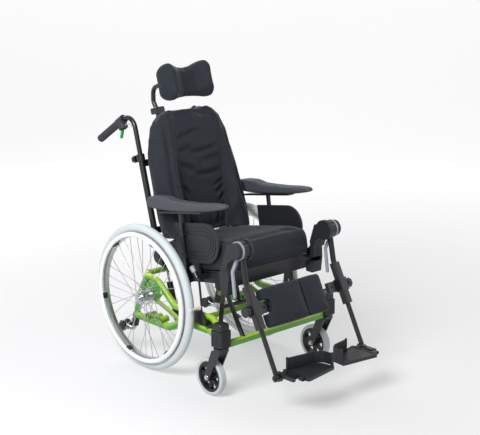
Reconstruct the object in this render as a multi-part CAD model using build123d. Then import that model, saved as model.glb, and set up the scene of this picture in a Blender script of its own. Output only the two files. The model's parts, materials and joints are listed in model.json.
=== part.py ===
"""A tilt in space wheelchair: 24 inch rear wheels, swivelling casters, a tilting seat unit with a reclining
backrest and a headrest, and two elevating legrests.

Millimetres. X runs from the user's right to the user's left, Y from the front to the rear and Z up. Every
sub-part is drawn with Y = 0 over the rear axle, and all of them are moved together at the end, so that the
origin lies on the floor under the middle of the chair.
"""

from build123d import *
import math
import os

# ------------------------------------------------------------------ driving dimensions
AXLE_TO_MIDDLE = 222.8  # the rear axle lies this far behind the middle of the chair's length

# Rear wheels
REAR_WHEEL_D = 608.0
REAR_TYRE_W = 35.0
TYRE_DEPTH = 28.0  # from the tread to the rim's edge
RIM_DEPTH = 24.0
RIM_WALL = 13.0  # the straight part of the rim's side
RIM_W = 25.0
HUB_D = 36.0
HUB_IN = 34.0  # how far the hub reaches inboard of the wheel's mid plane
HUB_OUT = 31.0
FLANGE_D = 56.0
FLANGE_T = 3.5
FLANGE_IN = 24.0
FLANGE_OUT = 23.0
SPOKE_D = 2.4
SPOKES = 36
SPOKE_STAGGER = 3.0  # crossing spokes pass on either side of their flange's plane
HANDRIM_INSET = 13.0  # its centre circle lies this far inside the rim's edge
HANDRIM_D = 19.0
HANDRIM_GAP = 3.0  # between the handrim and the rim's side
HANDRIM_TABS = 6
TAB_W = 24.0
TAB_FIRST_ANGLE = 20.0
AXLE_D = 12.7

# Casters
CASTER_D = 150.0
CASTER_STEM_Y = -470.0
CASTER_TRAIL = 59.0
CASTER_TYRE_T = 15.5
CASTER_TYRE_W = 30.0
CASTER_HUB_D = 34.0
CASTER_HUB_W = 36.0
CASTER_SPOKES = 7
CASTER_BOLT_D = 8.0
FORK_SIDE_GAP = 2.0  # between the hub's end and the fork's blade
FORK_BLADE_T = 6.0
FORK_CROWN_T = 14.0
FORK_CROWN_HALF = 22.0
FORK_BELOW = 7.0  # from the fork's top to the housing's foot
CROWN_INSET = 0.6  # the round crown lies this far inside the housing's sides
STEM_D = 12.0
HOUSING_SIZE = 60.0
HOUSING_BOTTOM_Z = 213.0
HOUSING_H = 62.0
HOUSING_CAP_SIZE = 52.0
HOUSING_CAP_H = 31.0

# Chassis
HOOP_D = 25.0
ARCH_D = 28.0
LOWER_D = 30.0
BRANCH_D = 18.0
CROSS_D = 25.0
WEB_T = 6.0
BUSH_D = 28.0
BUSH_L = 42.0
HOOP_BACKSET_Y = 95.0  # the hoop's top tube lies behind the seat's path
HOOP_TOP_Z = 368.0
MID_TUBE = (-107.0, 187.0)
SOCKET_D = 31.0

# Tilt
TILT_PIVOT = (-359.0, 408.0)
SEAT_ANGLE = 8.5  # how far the seat leans back as stored
TILT_LEG_W = 20.0
TILT_BAR_T = 7.0
TILT_PIN_D = 16.0
LUG_T = 6.0  # how far the rail's pivot lug stands in from the rail
SPRING_FOOT = (-68.0, 198.0)
SPRING_D = 26.0
SPRING_ROD_D = 9.0
SPRING_ROD_L = 158.0  # from the eye's centre to the rod's inner end
SPRING_CYLINDER_L = 146.0
SPRING_NECK = 12.0
SPRING_PLAY = 3.0  # radial play of the rod's eye on the hinge pin, which takes up the linkage's slop
EYE_T = 10.0
EYE_D = 20.0
PIN_D = 8.0

# Seat, in the seat's own frame: origin on the tilt pivot, Y rearward along the seat, Z square to it
RAIL_T = 16.0
RAIL_BOTTOM = 11.0
RAIL_H = 46.0
SEAT_FRONT = -100.0
SEAT_REAR = 330.0
PAN_T = 4.0
CUSHION_W = 430.0
CUSHION_H = 110.0
CUSHION_LIP = 12.0  # how far the cushion stands out over the pan's front
CUSHION_BACK_GAP = 8.0
SIDE_PANEL_T = 9.0
PANEL_LOW = 94.0
PANEL_H = 158.0
POST_Y = 136.0
POST_W = 14.0
POST_TOP = 300.0
ARM_PAD_HALF = 26.0

# Backrest, in the backrest's own frame: origin on the recline axis, Y rearward, Z up along the posts
RECLINE_ANGLE = 15.0
HINGE_BEHIND = 30.0  # the recline hinge lies this far behind the pan
HINGE_UP = 100.0
HINGE_PIN_D = 14.0
BACK_POST_D = 26.0
STRAP_T = 6.0  # the hinge plates inside the seat rails
HANDLE_D = 20.0
POST_TUBE_TOP = 425.0
HANDLE_CORNER_Z = 606.0
HANDLE_DROP = 16.6  # degrees
HANDLE_BEND_R = 50.0
CABLE_D = 5.0
GRIP_D = 33.0
SHELL_REAR = -30.0
SHELL_T = 5.0
SHELL_HALF = 182.0
STEM_Y = 80.0
STEM_W = 22.0
STEM_T = 10.0
STEM_TOP = 606.0
HEADREST_ARM_D = 20.0
HEADREST_BALL_D = 30.0
HEADREST_BALL = (-110.0, 713.0)

# Legrests, in the leg's own frame: origin on the knee axis, Z up along the lower leg tube
KNEE_IN_SEAT = (-196.3, 156.7)
KNEE_D = 72.0
LEG_ANGLE = 26.6
LEG_TUBE_D = 22.0
LEG_TUBE_Y = 31.3
LEG_LOWER_D = 19.0
SLEEVE_TOP = -134.0
SLEEVE_L = 170.0
LEG_L = 498.0
FOOT_UP = 23.0  # the plate's top lies this far above the lower end of the leg's tube
FOOT_LEFT_IN = 25.0  # the left plate and its loop reach this much further in
FOOT_AHEAD = 57.7  # the footplate's middle, ahead of the tube's lower end
FOOT_T = 13.0
CALF_SEAM_X = 14.0  # the pads meet this far to the user's left of the middle
CALF_PIN_IN = 58.0  # the bracket's pin reaches this far into the pad's end
CALF_LEFT_SHORT = 56.0  # so the left pad is this much shorter at its outer end

# Widths: everything stands off the cushion's sides
RAIL_IN = 20.0  # the rails' middle, in from the cushion's side
TILT_LEG_IN = 21.0  # in from the rail's middle
SPRING_IN = 23.0
PANEL_OUT = 11.0  # the side panel's middle, out from the cushion's side
POST_GAP = 1.5  # between the side panel and the armrest's post
FRAME_OUT = 17.0
WHEEL_OUT = 56.0  # the wheel's mid plane, out from the side frame
CASTER_OUT = 58.0
BRAKE_OUT = 20.0
HANGER_OUT = 21.0  # the legrest's swing pin, out from the cushion's side
LEG_OUT = 24.0
CHEEK_IN = 9.0  # the knee's inner cheek, in from the cushion's side
CHEEK_T = 16.0
KNUCKLE_T = 28.0
RING_T = 8.0
OUTER_CHEEK_T = 19.0
CALF_ARM_IN = 71.0  # in from the leg's tube
FOOT_HINGE_IN = 31.0

# Fits
RUN = 0.05  # radial clearance of a pin or shaft that turns
GAP = 0.3  # between faces that pass each other

SIDES = (("left", 1), ("right", -1))

CUSHION_HALF = CUSHION_W / 2
RAIL_X = CUSHION_HALF - RAIL_IN
TILT_LEG_X = RAIL_X - TILT_LEG_IN
SPRING_X = RAIL_X - SPRING_IN
BACK_POST_X = RAIL_X
SIDE_PANEL_X = CUSHION_HALF + PANEL_OUT
POST_X = SIDE_PANEL_X + SIDE_PANEL_T / 2 + POST_GAP + POST_W / 2
FRAME_X = CUSHION_HALF + FRAME_OUT
WHEEL_X = FRAME_X + WHEEL_OUT
CASTER_X = FRAME_X + CASTER_OUT
BRAKE_X = FRAME_X + BRAKE_OUT
HANGER_PIVOT_X = CUSHION_HALF + HANGER_OUT
LEG_X = CUSHION_HALF + LEG_OUT
CALF_ARM_X = LEG_X - CALF_ARM_IN
FOOT_HINGE_X = LEG_X - FOOT_HINGE_IN

AXLE_Z = REAR_WHEEL_D / 2
RIM_OUTER_R = REAR_WHEEL_D / 2 - TYRE_DEPTH
HANDRIM_R = RIM_OUTER_R - HANDRIM_INSET
HANDRIM_OFFSET = RIM_W / 2 + HANDRIM_GAP + HANDRIM_D / 2
CASTER_Y = CASTER_STEM_Y + CASTER_TRAIL
CASTER_Z = CASTER_D / 2
FORK_INNER_HALF = CASTER_HUB_W / 2 + FORK_SIDE_GAP
FORK_TOP_Z = HOUSING_BOTTOM_Z - FORK_BELOW
FRONT_TUBE = (CASTER_STEM_Y - 2, HOUSING_BOTTOM_Z)
CUSHION_FRONT = SEAT_FRONT - CUSHION_LIP
CUSHION_REAR = SEAT_REAR - CUSHION_BACK_GAP
HANGER_PIVOT_Y = SEAT_FRONT + 16
RECLINE_HINGE = (SEAT_REAR + HINGE_BEHIND, HINGE_UP)

parts = {}


# ------------------------------------------------------------------ helpers
def vec(x, yz):
    """A point from its X and its (Y, Z)."""
    return (x, yz[0], yz[1])


def turned(origin, degrees):
    """The place of a frame that stands on (Y, Z) and leans back by so many degrees."""
    return Location(vec(0, origin), (-degrees, 0, 0))


def carried(origin, degrees, point):
    """Where a (Y, Z) point of such a frame lies."""
    a = math.radians(degrees)
    y, z = point
    return (
        origin[0] + y * math.cos(a) + z * math.sin(a),
        origin[1] - y * math.sin(a) + z * math.cos(a),
    )


SEAT = turned(TILT_PIVOT, SEAT_ANGLE)
KNEE = carried(TILT_PIVOT, SEAT_ANGLE, KNEE_IN_SEAT)
HEEL = carried(KNEE, LEG_ANGLE, (LEG_TUBE_Y, -LEG_L + 6))
FOOT_TOP_Z = HEEL[1] + FOOT_UP
FOOT_Y = HEEL[0] - FOOT_AHEAD
FOOT_HINGE_Z = FOOT_TOP_Z - 8
HINGE = carried(TILT_PIVOT, SEAT_ANGLE, RECLINE_HINGE)
BACK = turned(HINGE, RECLINE_ANGLE)
LEG = turned(KNEE, LEG_ANGLE)
WHEEL = Location((WHEEL_X, 0, AXLE_Z), (0, 90, 0))
CASTER = Location((CASTER_X, CASTER_Y, CASTER_Z), (0, 90, 0))


def tube(points, outer, radii=(), inner=0.0):
    """A round tube along straight runs, with an arc of the given radius at each corner."""
    path = FilletPolyline(*points, radius=radii) if len(points) > 2 else Polyline(*points)
    start = Plane(origin=path @ 0, z_dir=path % 0)
    solid = sweep(start * Circle(outer / 2), path=path)
    if inner:
        solid -= sweep(start * Circle(inner / 2), path=path)
    return solid


def rod(a, b, diameter):
    """A straight round bar from one point to another."""
    run = Vector(*b) - Vector(*a)
    return extrude(Plane(origin=a, z_dir=run) * Circle(diameter / 2), run.length)


def across(x0, x1, yz, diameter):
    """A round bar parallel to X."""
    return rod(vec(x0, yz), vec(x1, yz), diameter)


def outline(points, x0, x1, radius=0.0):
    """A plate with an outline of (Y, Z) points, from one X to another."""
    face = make_face(Polyline(*points, close=True))
    if radius:
        face = fillet(face.vertices(), radius)
    return extrude(Plane.YZ.offset(x0) * face, x1 - x0)


def link(a, b, diameter, x0, x1):
    """A flat link with round ends, from (Y, Z) to (Y, Z)."""
    ya, za = a
    yb, zb = b
    length = math.hypot(yb - ya, zb - za)
    slot = SlotCenterToCenter(length, diameter)
    middle = Pos((ya + yb) / 2, (za + zb) / 2) * Rot(0, 0, math.degrees(math.atan2(zb - za, yb - ya)))
    return extrude(Plane.YZ.offset(x0) * (middle * slot), x1 - x0)


def ring(outer_r, inner_r, z0, z1):
    """A flat ring about Z."""
    return Pos(0, 0, z0) * extrude(Circle(outer_r) - Circle(inner_r), z1 - z0)


def turned_profile(points):
    """A solid of revolution about Z, from (radius, z) points."""
    return revolve(Plane.XZ * make_face(Polyline(*points, close=True)), Axis.Z)


def sided(solid, side):
    """A piece drawn for the user's left, on the side asked for."""
    return solid if side > 0 else mirror(solid, about=Plane.YZ)


def both(solid):
    """A piece and its mirror image."""
    return [solid, mirror(solid, about=Plane.YZ)]


def box_between(low, high, radius=0.0, axis=None):
    """A box from its lowest to its highest corner, its edges along one axis rounded."""
    size = [h - l for l, h in zip(low, high)]
    middle = [(h + l) / 2 for l, h in zip(low, high)]
    solid = Pos(*middle) * Box(*size)
    if radius:
        edges = solid.edges() if axis is None else solid.edges().filter_by(axis)
        solid = fillet(edges, radius)
    return solid


def rounded_section(cx, half, low, high, radius, y):
    """A rounded rectangle across X and Z, at one Y."""
    width, height = 2 * half, high - low
    radius = min(radius, width * 0.49, height * 0.49)
    place = Plane(origin=(cx, y, (low + high) / 2), x_dir=(1, 0, 0), z_dir=(0, 1, 0))
    return place * RectangleRounded(width, height, radius)


def add(name, *solids):
    """Files a sub-part under its name, as one group of separate solids."""
    group = []
    for item in solids:
        group += list(item) if isinstance(item, (list, tuple)) else [item]
    parts[name] = [s for item in group for s in item.solids()]


def union(name):
    """All the solids of a sub-part, for cutting its seat out of a neighbour."""
    return Compound(children=[Solid(s.wrapped) for s in parts[name]])


# ------------------------------------------------------------------ rear wheels
def rear_wheels():
    tyre_r = REAR_TYRE_W / 2
    centre_r = REAR_WHEEL_D / 2 - tyre_r
    tyre = Torus(centre_r, tyre_r) - Cylinder(RIM_OUTER_R, 2 * REAR_TYRE_W)

    inner_r = RIM_OUTER_R - RIM_DEPTH
    half = RIM_W / 2
    rim = turned_profile(
        [
            (RIM_OUTER_R, -half),
            (RIM_OUTER_R - RIM_WALL, -half),
            (inner_r, -half + 4.5),
            (inner_r, half - 4.5),
            (RIM_OUTER_R - RIM_WALL, half),
            (RIM_OUTER_R, half),
        ]
    )

    hand_z = HANDRIM_OFFSET
    handrim = Pos(0, 0, hand_z) * Torus(HANDRIM_R, HANDRIM_D / 2)
    tab_r = HANDRIM_R - HANDRIM_D / 2
    tab = Pos(tab_r + 2, 0, hand_z / 2 + 5) * Box(14, TAB_W, hand_z - 4) - rim
    for i in range(HANDRIM_TABS):
        handrim += Rot(0, 0, TAB_FIRST_ANGLE + i * 360 / HANDRIM_TABS) * tab

    bore = AXLE_D / 2 + RUN
    hub = ring(HUB_D / 2, bore, -HUB_IN, HUB_OUT)
    for z in (-FLANGE_IN, FLANGE_OUT):
        hub += ring(FLANGE_D / 2, bore, z - FLANGE_T / 2, z + FLANGE_T / 2)

    spokes = []
    start_r = FLANGE_D / 2 + GAP
    end_r = inner_r - GAP
    lean = 60.0
    for i in range(SPOKES):
        flange_z = -FLANGE_IN if i % 2 else FLANGE_OUT
        rim_z = -1.5 if i % 2 else 1.5
        way = 1 if (i // 2) % 2 else -1
        hole = math.radians(i * 360 / SPOKES)
        root = hole + math.radians(lean) * way
        a = (start_r * math.cos(root), start_r * math.sin(root), flange_z + way * SPOKE_STAGGER)
        b = (end_r * math.cos(hole), end_r * math.sin(hole), rim_z + way * SPOKE_STAGGER / 2)
        spokes.append(rod(a, b, SPOKE_D))

    for side, sign in SIDES:
        add(f"rear_tyre_{side}", sided(WHEEL * tyre, sign))
        add(f"rear_rim_{side}", sided(WHEEL * rim, sign))
        add(f"rear_hub_{side}", sided(WHEEL * hub, sign), [sided(WHEEL * s, sign) for s in spokes])
        add(f"handrim_{side}", sided(WHEEL * handrim, sign))


# ------------------------------------------------------------------ casters
def casters():
    tyre_inner = CASTER_D / 2 - CASTER_TYRE_T
    half = CASTER_TYRE_W / 2
    tread_r = min(6.5, 0.45 * CASTER_TYRE_T)
    profile = Plane.XZ * (
        Pos(tyre_inner + CASTER_TYRE_T / 2, 0) * RectangleRounded(CASTER_TYRE_T, CASTER_TYRE_W, tread_r)
    )
    tyre = revolve(profile, Axis.Z)
    tyre -= Cylinder(tyre_inner + 1.5, 2 * CASTER_TYRE_W)

    rim_w = CASTER_TYRE_W - 4
    bolt_r = CASTER_BOLT_D / 2
    core = ring(tyre_inner + 1.5, tyre_inner - 8, -rim_w / 2, rim_w / 2)
    core += ring(CASTER_HUB_D / 2, bolt_r, -CASTER_HUB_W / 2, CASTER_HUB_W / 2)
    spoke_l = tyre_inner - 6 - CASTER_HUB_D / 2 + 3
    spoke = Pos(CASTER_HUB_D / 2 - 2 + spoke_l / 2, 0, 0) * Box(spoke_l, 11, 15)
    for i in range(CASTER_SPOKES):
        core += Rot(0, 0, i * 360 / CASTER_SPOKES) * spoke
    core -= Cylinder(bolt_r + RUN, CASTER_HUB_W + 2)

    inner, outer = FORK_INNER_HALF, FORK_INNER_HALF + FORK_BLADE_T
    stem = (CASTER_STEM_Y, FORK_TOP_Z)
    eye = (CASTER_Y, CASTER_Z)
    crown = FORK_CROWN_HALF
    blade_face = [
        (stem[0] - crown, stem[1]),
        (stem[0] + crown, stem[1]),
        (eye[0] + 14.5, eye[1] + 5),
        (eye[0] - 14.5, eye[1] - 4),
    ]
    fork = box_between(
        (CASTER_X - outer, stem[0] - crown, FORK_TOP_Z - FORK_CROWN_T),
        (CASTER_X + outer, stem[0] + crown, FORK_TOP_Z),
    )
    for a in (-outer, inner):
        x0 = CASTER_X + a
        fork += outline(blade_face, x0, x0 + FORK_BLADE_T)
        fork += across(x0, x0 + FORK_BLADE_T, eye, 30)
    fork -= across(CASTER_X - 40, CASTER_X + 40, eye, CASTER_BOLT_D)
    crown_r = HOUSING_SIZE / 2 - CROWN_INSET
    corners = ring(2 * outer + crown, crown_r, FORK_TOP_Z - FORK_CROWN_T, FORK_TOP_Z + 1)
    fork -= Pos(CASTER_X, stem[0], 0) * corners
    stem_top = HOUSING_BOTTOM_Z + HOUSING_H + 6
    fork += rod((CASTER_X, stem[0], FORK_TOP_Z - 1), (CASTER_X, stem[0], HOUSING_BOTTOM_Z - GAP), 26)
    fork += rod((CASTER_X, stem[0], FORK_TOP_Z - 1), (CASTER_X, stem[0], stem_top), STEM_D)
    bolt = across(CASTER_X - outer, CASTER_X + outer, eye, CASTER_BOLT_D)
    bolt += across(CASTER_X + outer, CASTER_X + outer + 4.5, eye, 15)
    bolt += across(CASTER_X - outer - 6, CASTER_X - outer, eye, 15)

    for side, sign in SIDES:
        add(f"caster_tyre_{side}", sided(CASTER * tyre, sign))
        add(f"caster_core_{side}", sided(CASTER * core, sign))
        add(f"caster_fork_{side}", sided(fork, sign), sided(bolt, sign))

    size, bottom = HOUSING_SIZE, HOUSING_BOTTOM_Z
    block = Pos(CASTER_X, CASTER_STEM_Y, bottom + HOUSING_H / 2) * Box(size, size, HOUSING_H)
    block = fillet(block.edges().filter_by(Axis.Z), 11)
    for i in range(5):
        shift = (i - 2) * 7.5
        block -= Pos(CASTER_X + shift, CASTER_STEM_Y - size / 2, bottom + 30) * Box(2.2, 2.6, 50)
        block -= Pos(CASTER_X + size / 2, CASTER_STEM_Y + shift, bottom + 30) * Box(2.6, 2.2, 50)
    cap_z = bottom + HOUSING_H
    cap = Pos(CASTER_X, CASTER_STEM_Y, cap_z + HOUSING_CAP_H / 2) * Box(
        HOUSING_CAP_SIZE, HOUSING_CAP_SIZE, HOUSING_CAP_H
    )
    cap = fillet(cap.edges().filter_by(Axis.Z), 13)
    cap = fillet(cap.faces().sort_by(Axis.Z)[-1].edges(), 12)
    stem_hole = rod(
        (CASTER_X, CASTER_STEM_Y, bottom - 1), (CASTER_X, CASTER_STEM_Y, stem_top + 3), STEM_D + 2 * RUN
    )
    add("caster_housings", both(block - stem_hole), both(cap - stem_hole))


# ------------------------------------------------------------------ chassis
def hoop_point(s):
    """A point on the upright's lower run, s mm above its lower end."""
    low, high = (133.0, 173.0), (95.0, 298.0)
    length = math.hypot(high[0] - low[0], high[1] - low[1])
    return (low[0] + (high[0] - low[0]) * s / length, low[1] + (high[1] - low[1]) * s / length)


def chassis():
    x = FRAME_X
    upright = [vec(x, hoop_point(0)), vec(x, hoop_point(130.0)), (x, 43, 391)]
    top = (HOOP_BACKSET_Y, HOOP_TOP_Z)
    right = [(-p[0], p[1], p[2]) for p in upright]
    corner = x - 44
    route = upright + [vec(corner, top), vec(-corner, top)] + right[::-1]
    hoop = tube(route, HOOP_D, (120, 34, 34, 34, 34, 120))

    housing_y = CASTER_STEM_Y + HOUSING_SIZE / 2
    into = housing_y - 14
    arch = tube(
        [
            vec(x, hoop_point(112)),
            (x, 48, 374),
            (x, -22, 364),
            (x, -128, 280),
            (x, -364, 282),
            (CASTER_X - 14, into, HOUSING_BOTTOM_Z + 47),
        ],
        ARCH_D,
        (34, 60, 60, 60),
    )
    lower = tube(
        [
            vec(x, hoop_point(14)),
            (x, -88, 182),
            (x, -186, 230),
            (x, -340, 229),
            (CASTER_X - 14, into, HOUSING_BOTTOM_Z + 23),
        ],
        LOWER_D,
        (60, 60, 60),
    )
    branch = tube([(x, 6, 284), (x, -95, 252), (x, -170, 224)], BRANCH_D, (80,))
    web_face = [(86, 14), (44, 48), (-20, 42), (-52, 14), (-14, -28), (22, -32), (92, -22)]
    web = outline([(y, AXLE_Z + z) for y, z in web_face], x - WEB_T / 2, x + WEB_T / 2)
    frame = arch + lower + branch + web
    for y in (30, -9, -49):
        frame += across(x - BUSH_L / 2, x + BUSH_L / 2, (y, 207), BUSH_D)
        frame -= across(x - BUSH_L, x + BUSH_L, (y, 207), BUSH_D - 9)
    for y, z in ((48, 2), (-38, 18)):
        frame -= across(x - 10, x + 10, (y, AXLE_Z + z), 20)
    sleeve_d = 28.0
    axle = (0, AXLE_Z)
    frame -= across(x - 30, x + 30, axle, sleeve_d)
    housing = box_between(
        (CASTER_X - HOUSING_SIZE / 2, CASTER_STEM_Y - HOUSING_SIZE, HOUSING_BOTTOM_Z - 30),
        (CASTER_X + HOUSING_SIZE, housing_y, HOUSING_BOTTOM_Z + 2 * HOUSING_H),
    )
    frame = max((frame - housing - hoop).solids(), key=lambda solid: solid.volume)
    add("rear_hoop", hoop)
    add("side_frames", both(frame))

    # axle receivers and quick-release axles
    hub_inner_x, hub_outer_x = WHEEL_X - HUB_IN, WHEEL_X + HUB_OUT
    receiver = across(FRAME_X - 10, hub_inner_x - 0.5, axle, sleeve_d)
    nut = Pos(FRAME_X - 15, 0, AXLE_Z) * Rot(0, 90, 0) * extrude(RegularPolygon(17, 6), 10, both=True)
    nut &= box_between((FRAME_X - 18, -30, AXLE_Z - 30), (FRAME_X - 10, 30, AXLE_Z + 30))
    receiver = receiver + nut - across(0, 2 * FRAME_X, axle, AXLE_D)
    pin = across(FRAME_X - 24, hub_outer_x + 1, axle, AXLE_D)
    pin += across(hub_outer_x + 0.5, hub_outer_x + 5, axle, 20)
    add("rear_axles", both(receiver), both(pin))

    # cross tubes
    reach = FRAME_X
    mid = across(-reach, reach, MID_TUBE, CROSS_D)
    for sign in (1, -1):
        for a in (-EYE_T / 2 - 4.5, EYE_T / 2 + 0.5):
            x0 = sign * SPRING_X + a
            mid += link(MID_TUBE, SPRING_FOOT, EYE_D, x0, x0 + 4)
        x0 = sign * SPRING_X
        mid += across(x0 - EYE_T, x0 + EYE_T, SPRING_FOOT, PIN_D)
    mid -= union("side_frames")
    mid = max(mid.solids(), key=lambda s: s.volume)
    fy, fz = FRONT_TUBE
    front = box_between(
        (-CASTER_X + HOUSING_SIZE / 2, fy - CROSS_D / 2, fz - CROSS_D / 2),
        (CASTER_X - HOUSING_SIZE / 2, fy + CROSS_D / 2, fz + CROSS_D / 2),
        6,
        Axis.X,
    )
    add("cross_tubes", mid, front)

    # tilt brackets: a rear leg and a front bar from the pivot boss, joined across by a square bar
    lx, w, t = TILT_LEG_X, TILT_LEG_W, TILT_BAR_T
    foot = (-336, 229)
    front_foot = (fy + 4, fz + CROSS_D / 2)
    legs = link(TILT_PIVOT, foot, w, lx - t / 2, lx + t / 2)
    legs += across(lx - t / 2, FRAME_X, foot, w)
    bar_end = (front_foot[0] - 3, front_foot[1] - 10)
    legs += link(TILT_PIVOT, bar_end, w, lx - t / 2, lx + t / 2)
    lug_x = RAIL_X - RAIL_T / 2 - LUG_T
    legs += across(lx - 9, lug_x - GAP, TILT_PIVOT, 34)
    legs += across(lug_x - 2, RAIL_X + RAIL_T / 2, TILT_PIVOT, TILT_PIN_D)
    cross = box_between((-lx, -354, 306), (lx, -340, 320), 3, Axis.X)
    bracket = Compound(children=both(legs)) + cross
    bracket -= union("side_frames")
    bracket -= union("cross_tubes")
    add("tilt_brackets", [s for s in bracket.solids() if s.volume > 5000])

    # black fittings on the tubes: anti-tipper sockets and brake clamps
    socket = rod(vec(x, hoop_point(-34)), vec(x, hoop_point(22)), SOCKET_D)
    socket -= rod(vec(x, hoop_point(-40)), vec(x, hoop_point(2)), 16 + 2 * RUN)
    socket -= hoop
    socket -= union("side_frames")
    socket = max(socket.solids(), key=lambda s: s.volume)
    clamp_x = BRAKE_X - LEVER_BAR_D / 2 - GAP
    by, bz = BRAKE_PIVOT
    clamp_face = [(65, 10), (7, 16), (-19, -6), (-69, -12), (-69, -38), (65, -32)]
    clamp = outline([(by + y, bz + z) for y, z in clamp_face], FRAME_X + 2, clamp_x, 3)
    for y in (by - 35, by - 55):
        clamp += rod((clamp_x - 6, y, bz - 14), (clamp_x - 6, y, bz - 5), 9)
    clamp += across(clamp_x - 1, BRAKE_X + LEVER_BAR_D / 2, BRAKE_PIVOT, 12)
    clamp += across(clamp_x - 1, BRAKE_X + LEVER_BAR_D / 2 + 9, PIN_PIVOT, 10)
    clamp -= union("side_frames")
    clamp = max(clamp.solids(), key=lambda s: s.volume)
    add("frame_clamps", both(socket), both(clamp))


# ------------------------------------------------------------------ anti-tippers
ANTITIP_D = 16.0
ANTITIP_WHEEL = (210.0, 122.0)
ANTITIP_WHEEL_D = 46.0
ANTITIP_BOSS = 1.0  # how far the wheel's boss stands out on each side of the tube


def antitippers():
    x = FRAME_X
    arm = tube(
        [vec(x, hoop_point(-3)), vec(x, hoop_point(-62)), vec(x, ANTITIP_WHEEL)],
        ANTITIP_D,
        (22,),
    )
    boss = ANTITIP_D / 2 + ANTITIP_BOSS
    arm += across(x - boss, x + boss, ANTITIP_WHEEL, 24)
    arm -= across(x - 20, x + 20, ANTITIP_WHEEL, 14 + 2 * RUN)
    half = boss + GAP
    wheel = across(x - half - 10, x + half + 10, ANTITIP_WHEEL, 14)
    for a in (-half - 10, half):
        disc = across(x + a, x + a + 10, ANTITIP_WHEEL, ANTITIP_WHEEL_D)
        wheel += fillet(disc.edges(), 2.5)
    for side, sign in SIDES:
        add(f"antitip_tube_{side}", sided(arm, sign))
        add(f"antitip_wheel_{side}", sided(wheel, sign))


# ------------------------------------------------------------------ brakes
LEVER_BAR_D = 9.0
BRAKE_PIVOT = (-303.0, 284.0)
BRAKE_PIN_D = 11.0
BRAKE_PIN_GAP = 4.0  # between the pin and the tread with the brake off
BRAKE_PIN_UP = 3.3  # degrees above the axle's level, seen from the axle
PIN_PIVOT = (BRAKE_PIVOT[0] - 42, BRAKE_PIVOT[1] - 22)
PIN_REACH = REAR_WHEEL_D / 2 + BRAKE_PIN_GAP + BRAKE_PIN_D / 2
BRAKE_PIN = (
    -PIN_REACH * math.cos(math.radians(BRAKE_PIN_UP)),
    AXLE_Z + PIN_REACH * math.sin(math.radians(BRAKE_PIN_UP)),
)


def brakes():
    x = BRAKE_X
    by, bz = BRAKE_PIVOT
    knee, top = (by, bz + 141), (by + 41, bz + 190)
    bar = tube([vec(x, BRAKE_PIVOT), (x, by - 12, bz + 46), vec(x, knee), vec(x, top)], LEVER_BAR_D, (40, 26))
    bar += across(x - LEVER_BAR_D / 2, x + LEVER_BAR_D / 2, BRAKE_PIVOT, 26)
    bar -= across(x - 20, x + 20, BRAKE_PIVOT, 12 + 2 * RUN)
    first, last = Vector(x, *knee), Vector(x, *top)
    along = (last - first).normalized()
    grip = rod(tuple(first + along * 10), tuple(last + along * 6), 21)
    grip = fillet(grip.edges(), 6)
    grip -= rod(tuple(first + along * 8), tuple(last), LEVER_BAR_D)
    arm_x = x + LEVER_BAR_D / 2 + 2 * GAP + 3
    pin_arm = link(PIN_PIVOT, BRAKE_PIN, 18, arm_x - 3, arm_x + 3)
    pin_arm -= across(arm_x - 10, arm_x + 10, PIN_PIVOT, 10 + 2 * RUN)
    pin_arm += across(arm_x, WHEEL_X + 20, BRAKE_PIN, BRAKE_PIN_D)
    for side, sign in SIDES:
        add(f"brake_lever_{side}", sided(bar, sign), sided(grip, sign))
        add(f"brake_pin_{side}", sided(pin_arm, sign))


# ------------------------------------------------------------------ tilt gas springs
def spring_axis():
    """The gas spring's length and its lean from upright, between its lug and the recline hinge."""
    dy, dz = HINGE[0] - SPRING_FOOT[0], HINGE[1] - SPRING_FOOT[1]
    return math.hypot(dy, dz), math.degrees(math.atan2(dy, dz))


def gas_springs():
    length, lean = spring_axis()
    place = turned(SPRING_FOOT, lean)
    x = SPRING_X
    half = EYE_T / 2
    cylinder = across(x - half, x + half, (0, 0), EYE_D)
    cylinder += rod((x, 0, 6), (x, 0, SPRING_NECK + 1), EYE_T)
    top = SPRING_NECK + SPRING_CYLINDER_L
    cylinder += rod((x, 0, SPRING_NECK), (x, 0, top), SPRING_D)
    cylinder -= across(x - 20, x + 20, (0, 0), PIN_D + 2 * RUN)
    cylinder -= rod((x, 0, SPRING_NECK + 4), (x, 0, top + 1), SPRING_ROD_D + 2 * RUN)
    eye_bore = HINGE_PIN_D + 2 * SPRING_PLAY
    piston = rod((x, 0, length - SPRING_ROD_L), (x, 0, length - eye_bore / 2 - 1), SPRING_ROD_D)
    piston += across(x - half, x + half, (0, length), eye_bore + 10)
    piston -= across(x - 20, x + 20, (0, length), eye_bore)
    add("spring_cylinders", both(place * cylinder))
    add("spring_rods", both(place * piston))


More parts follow.
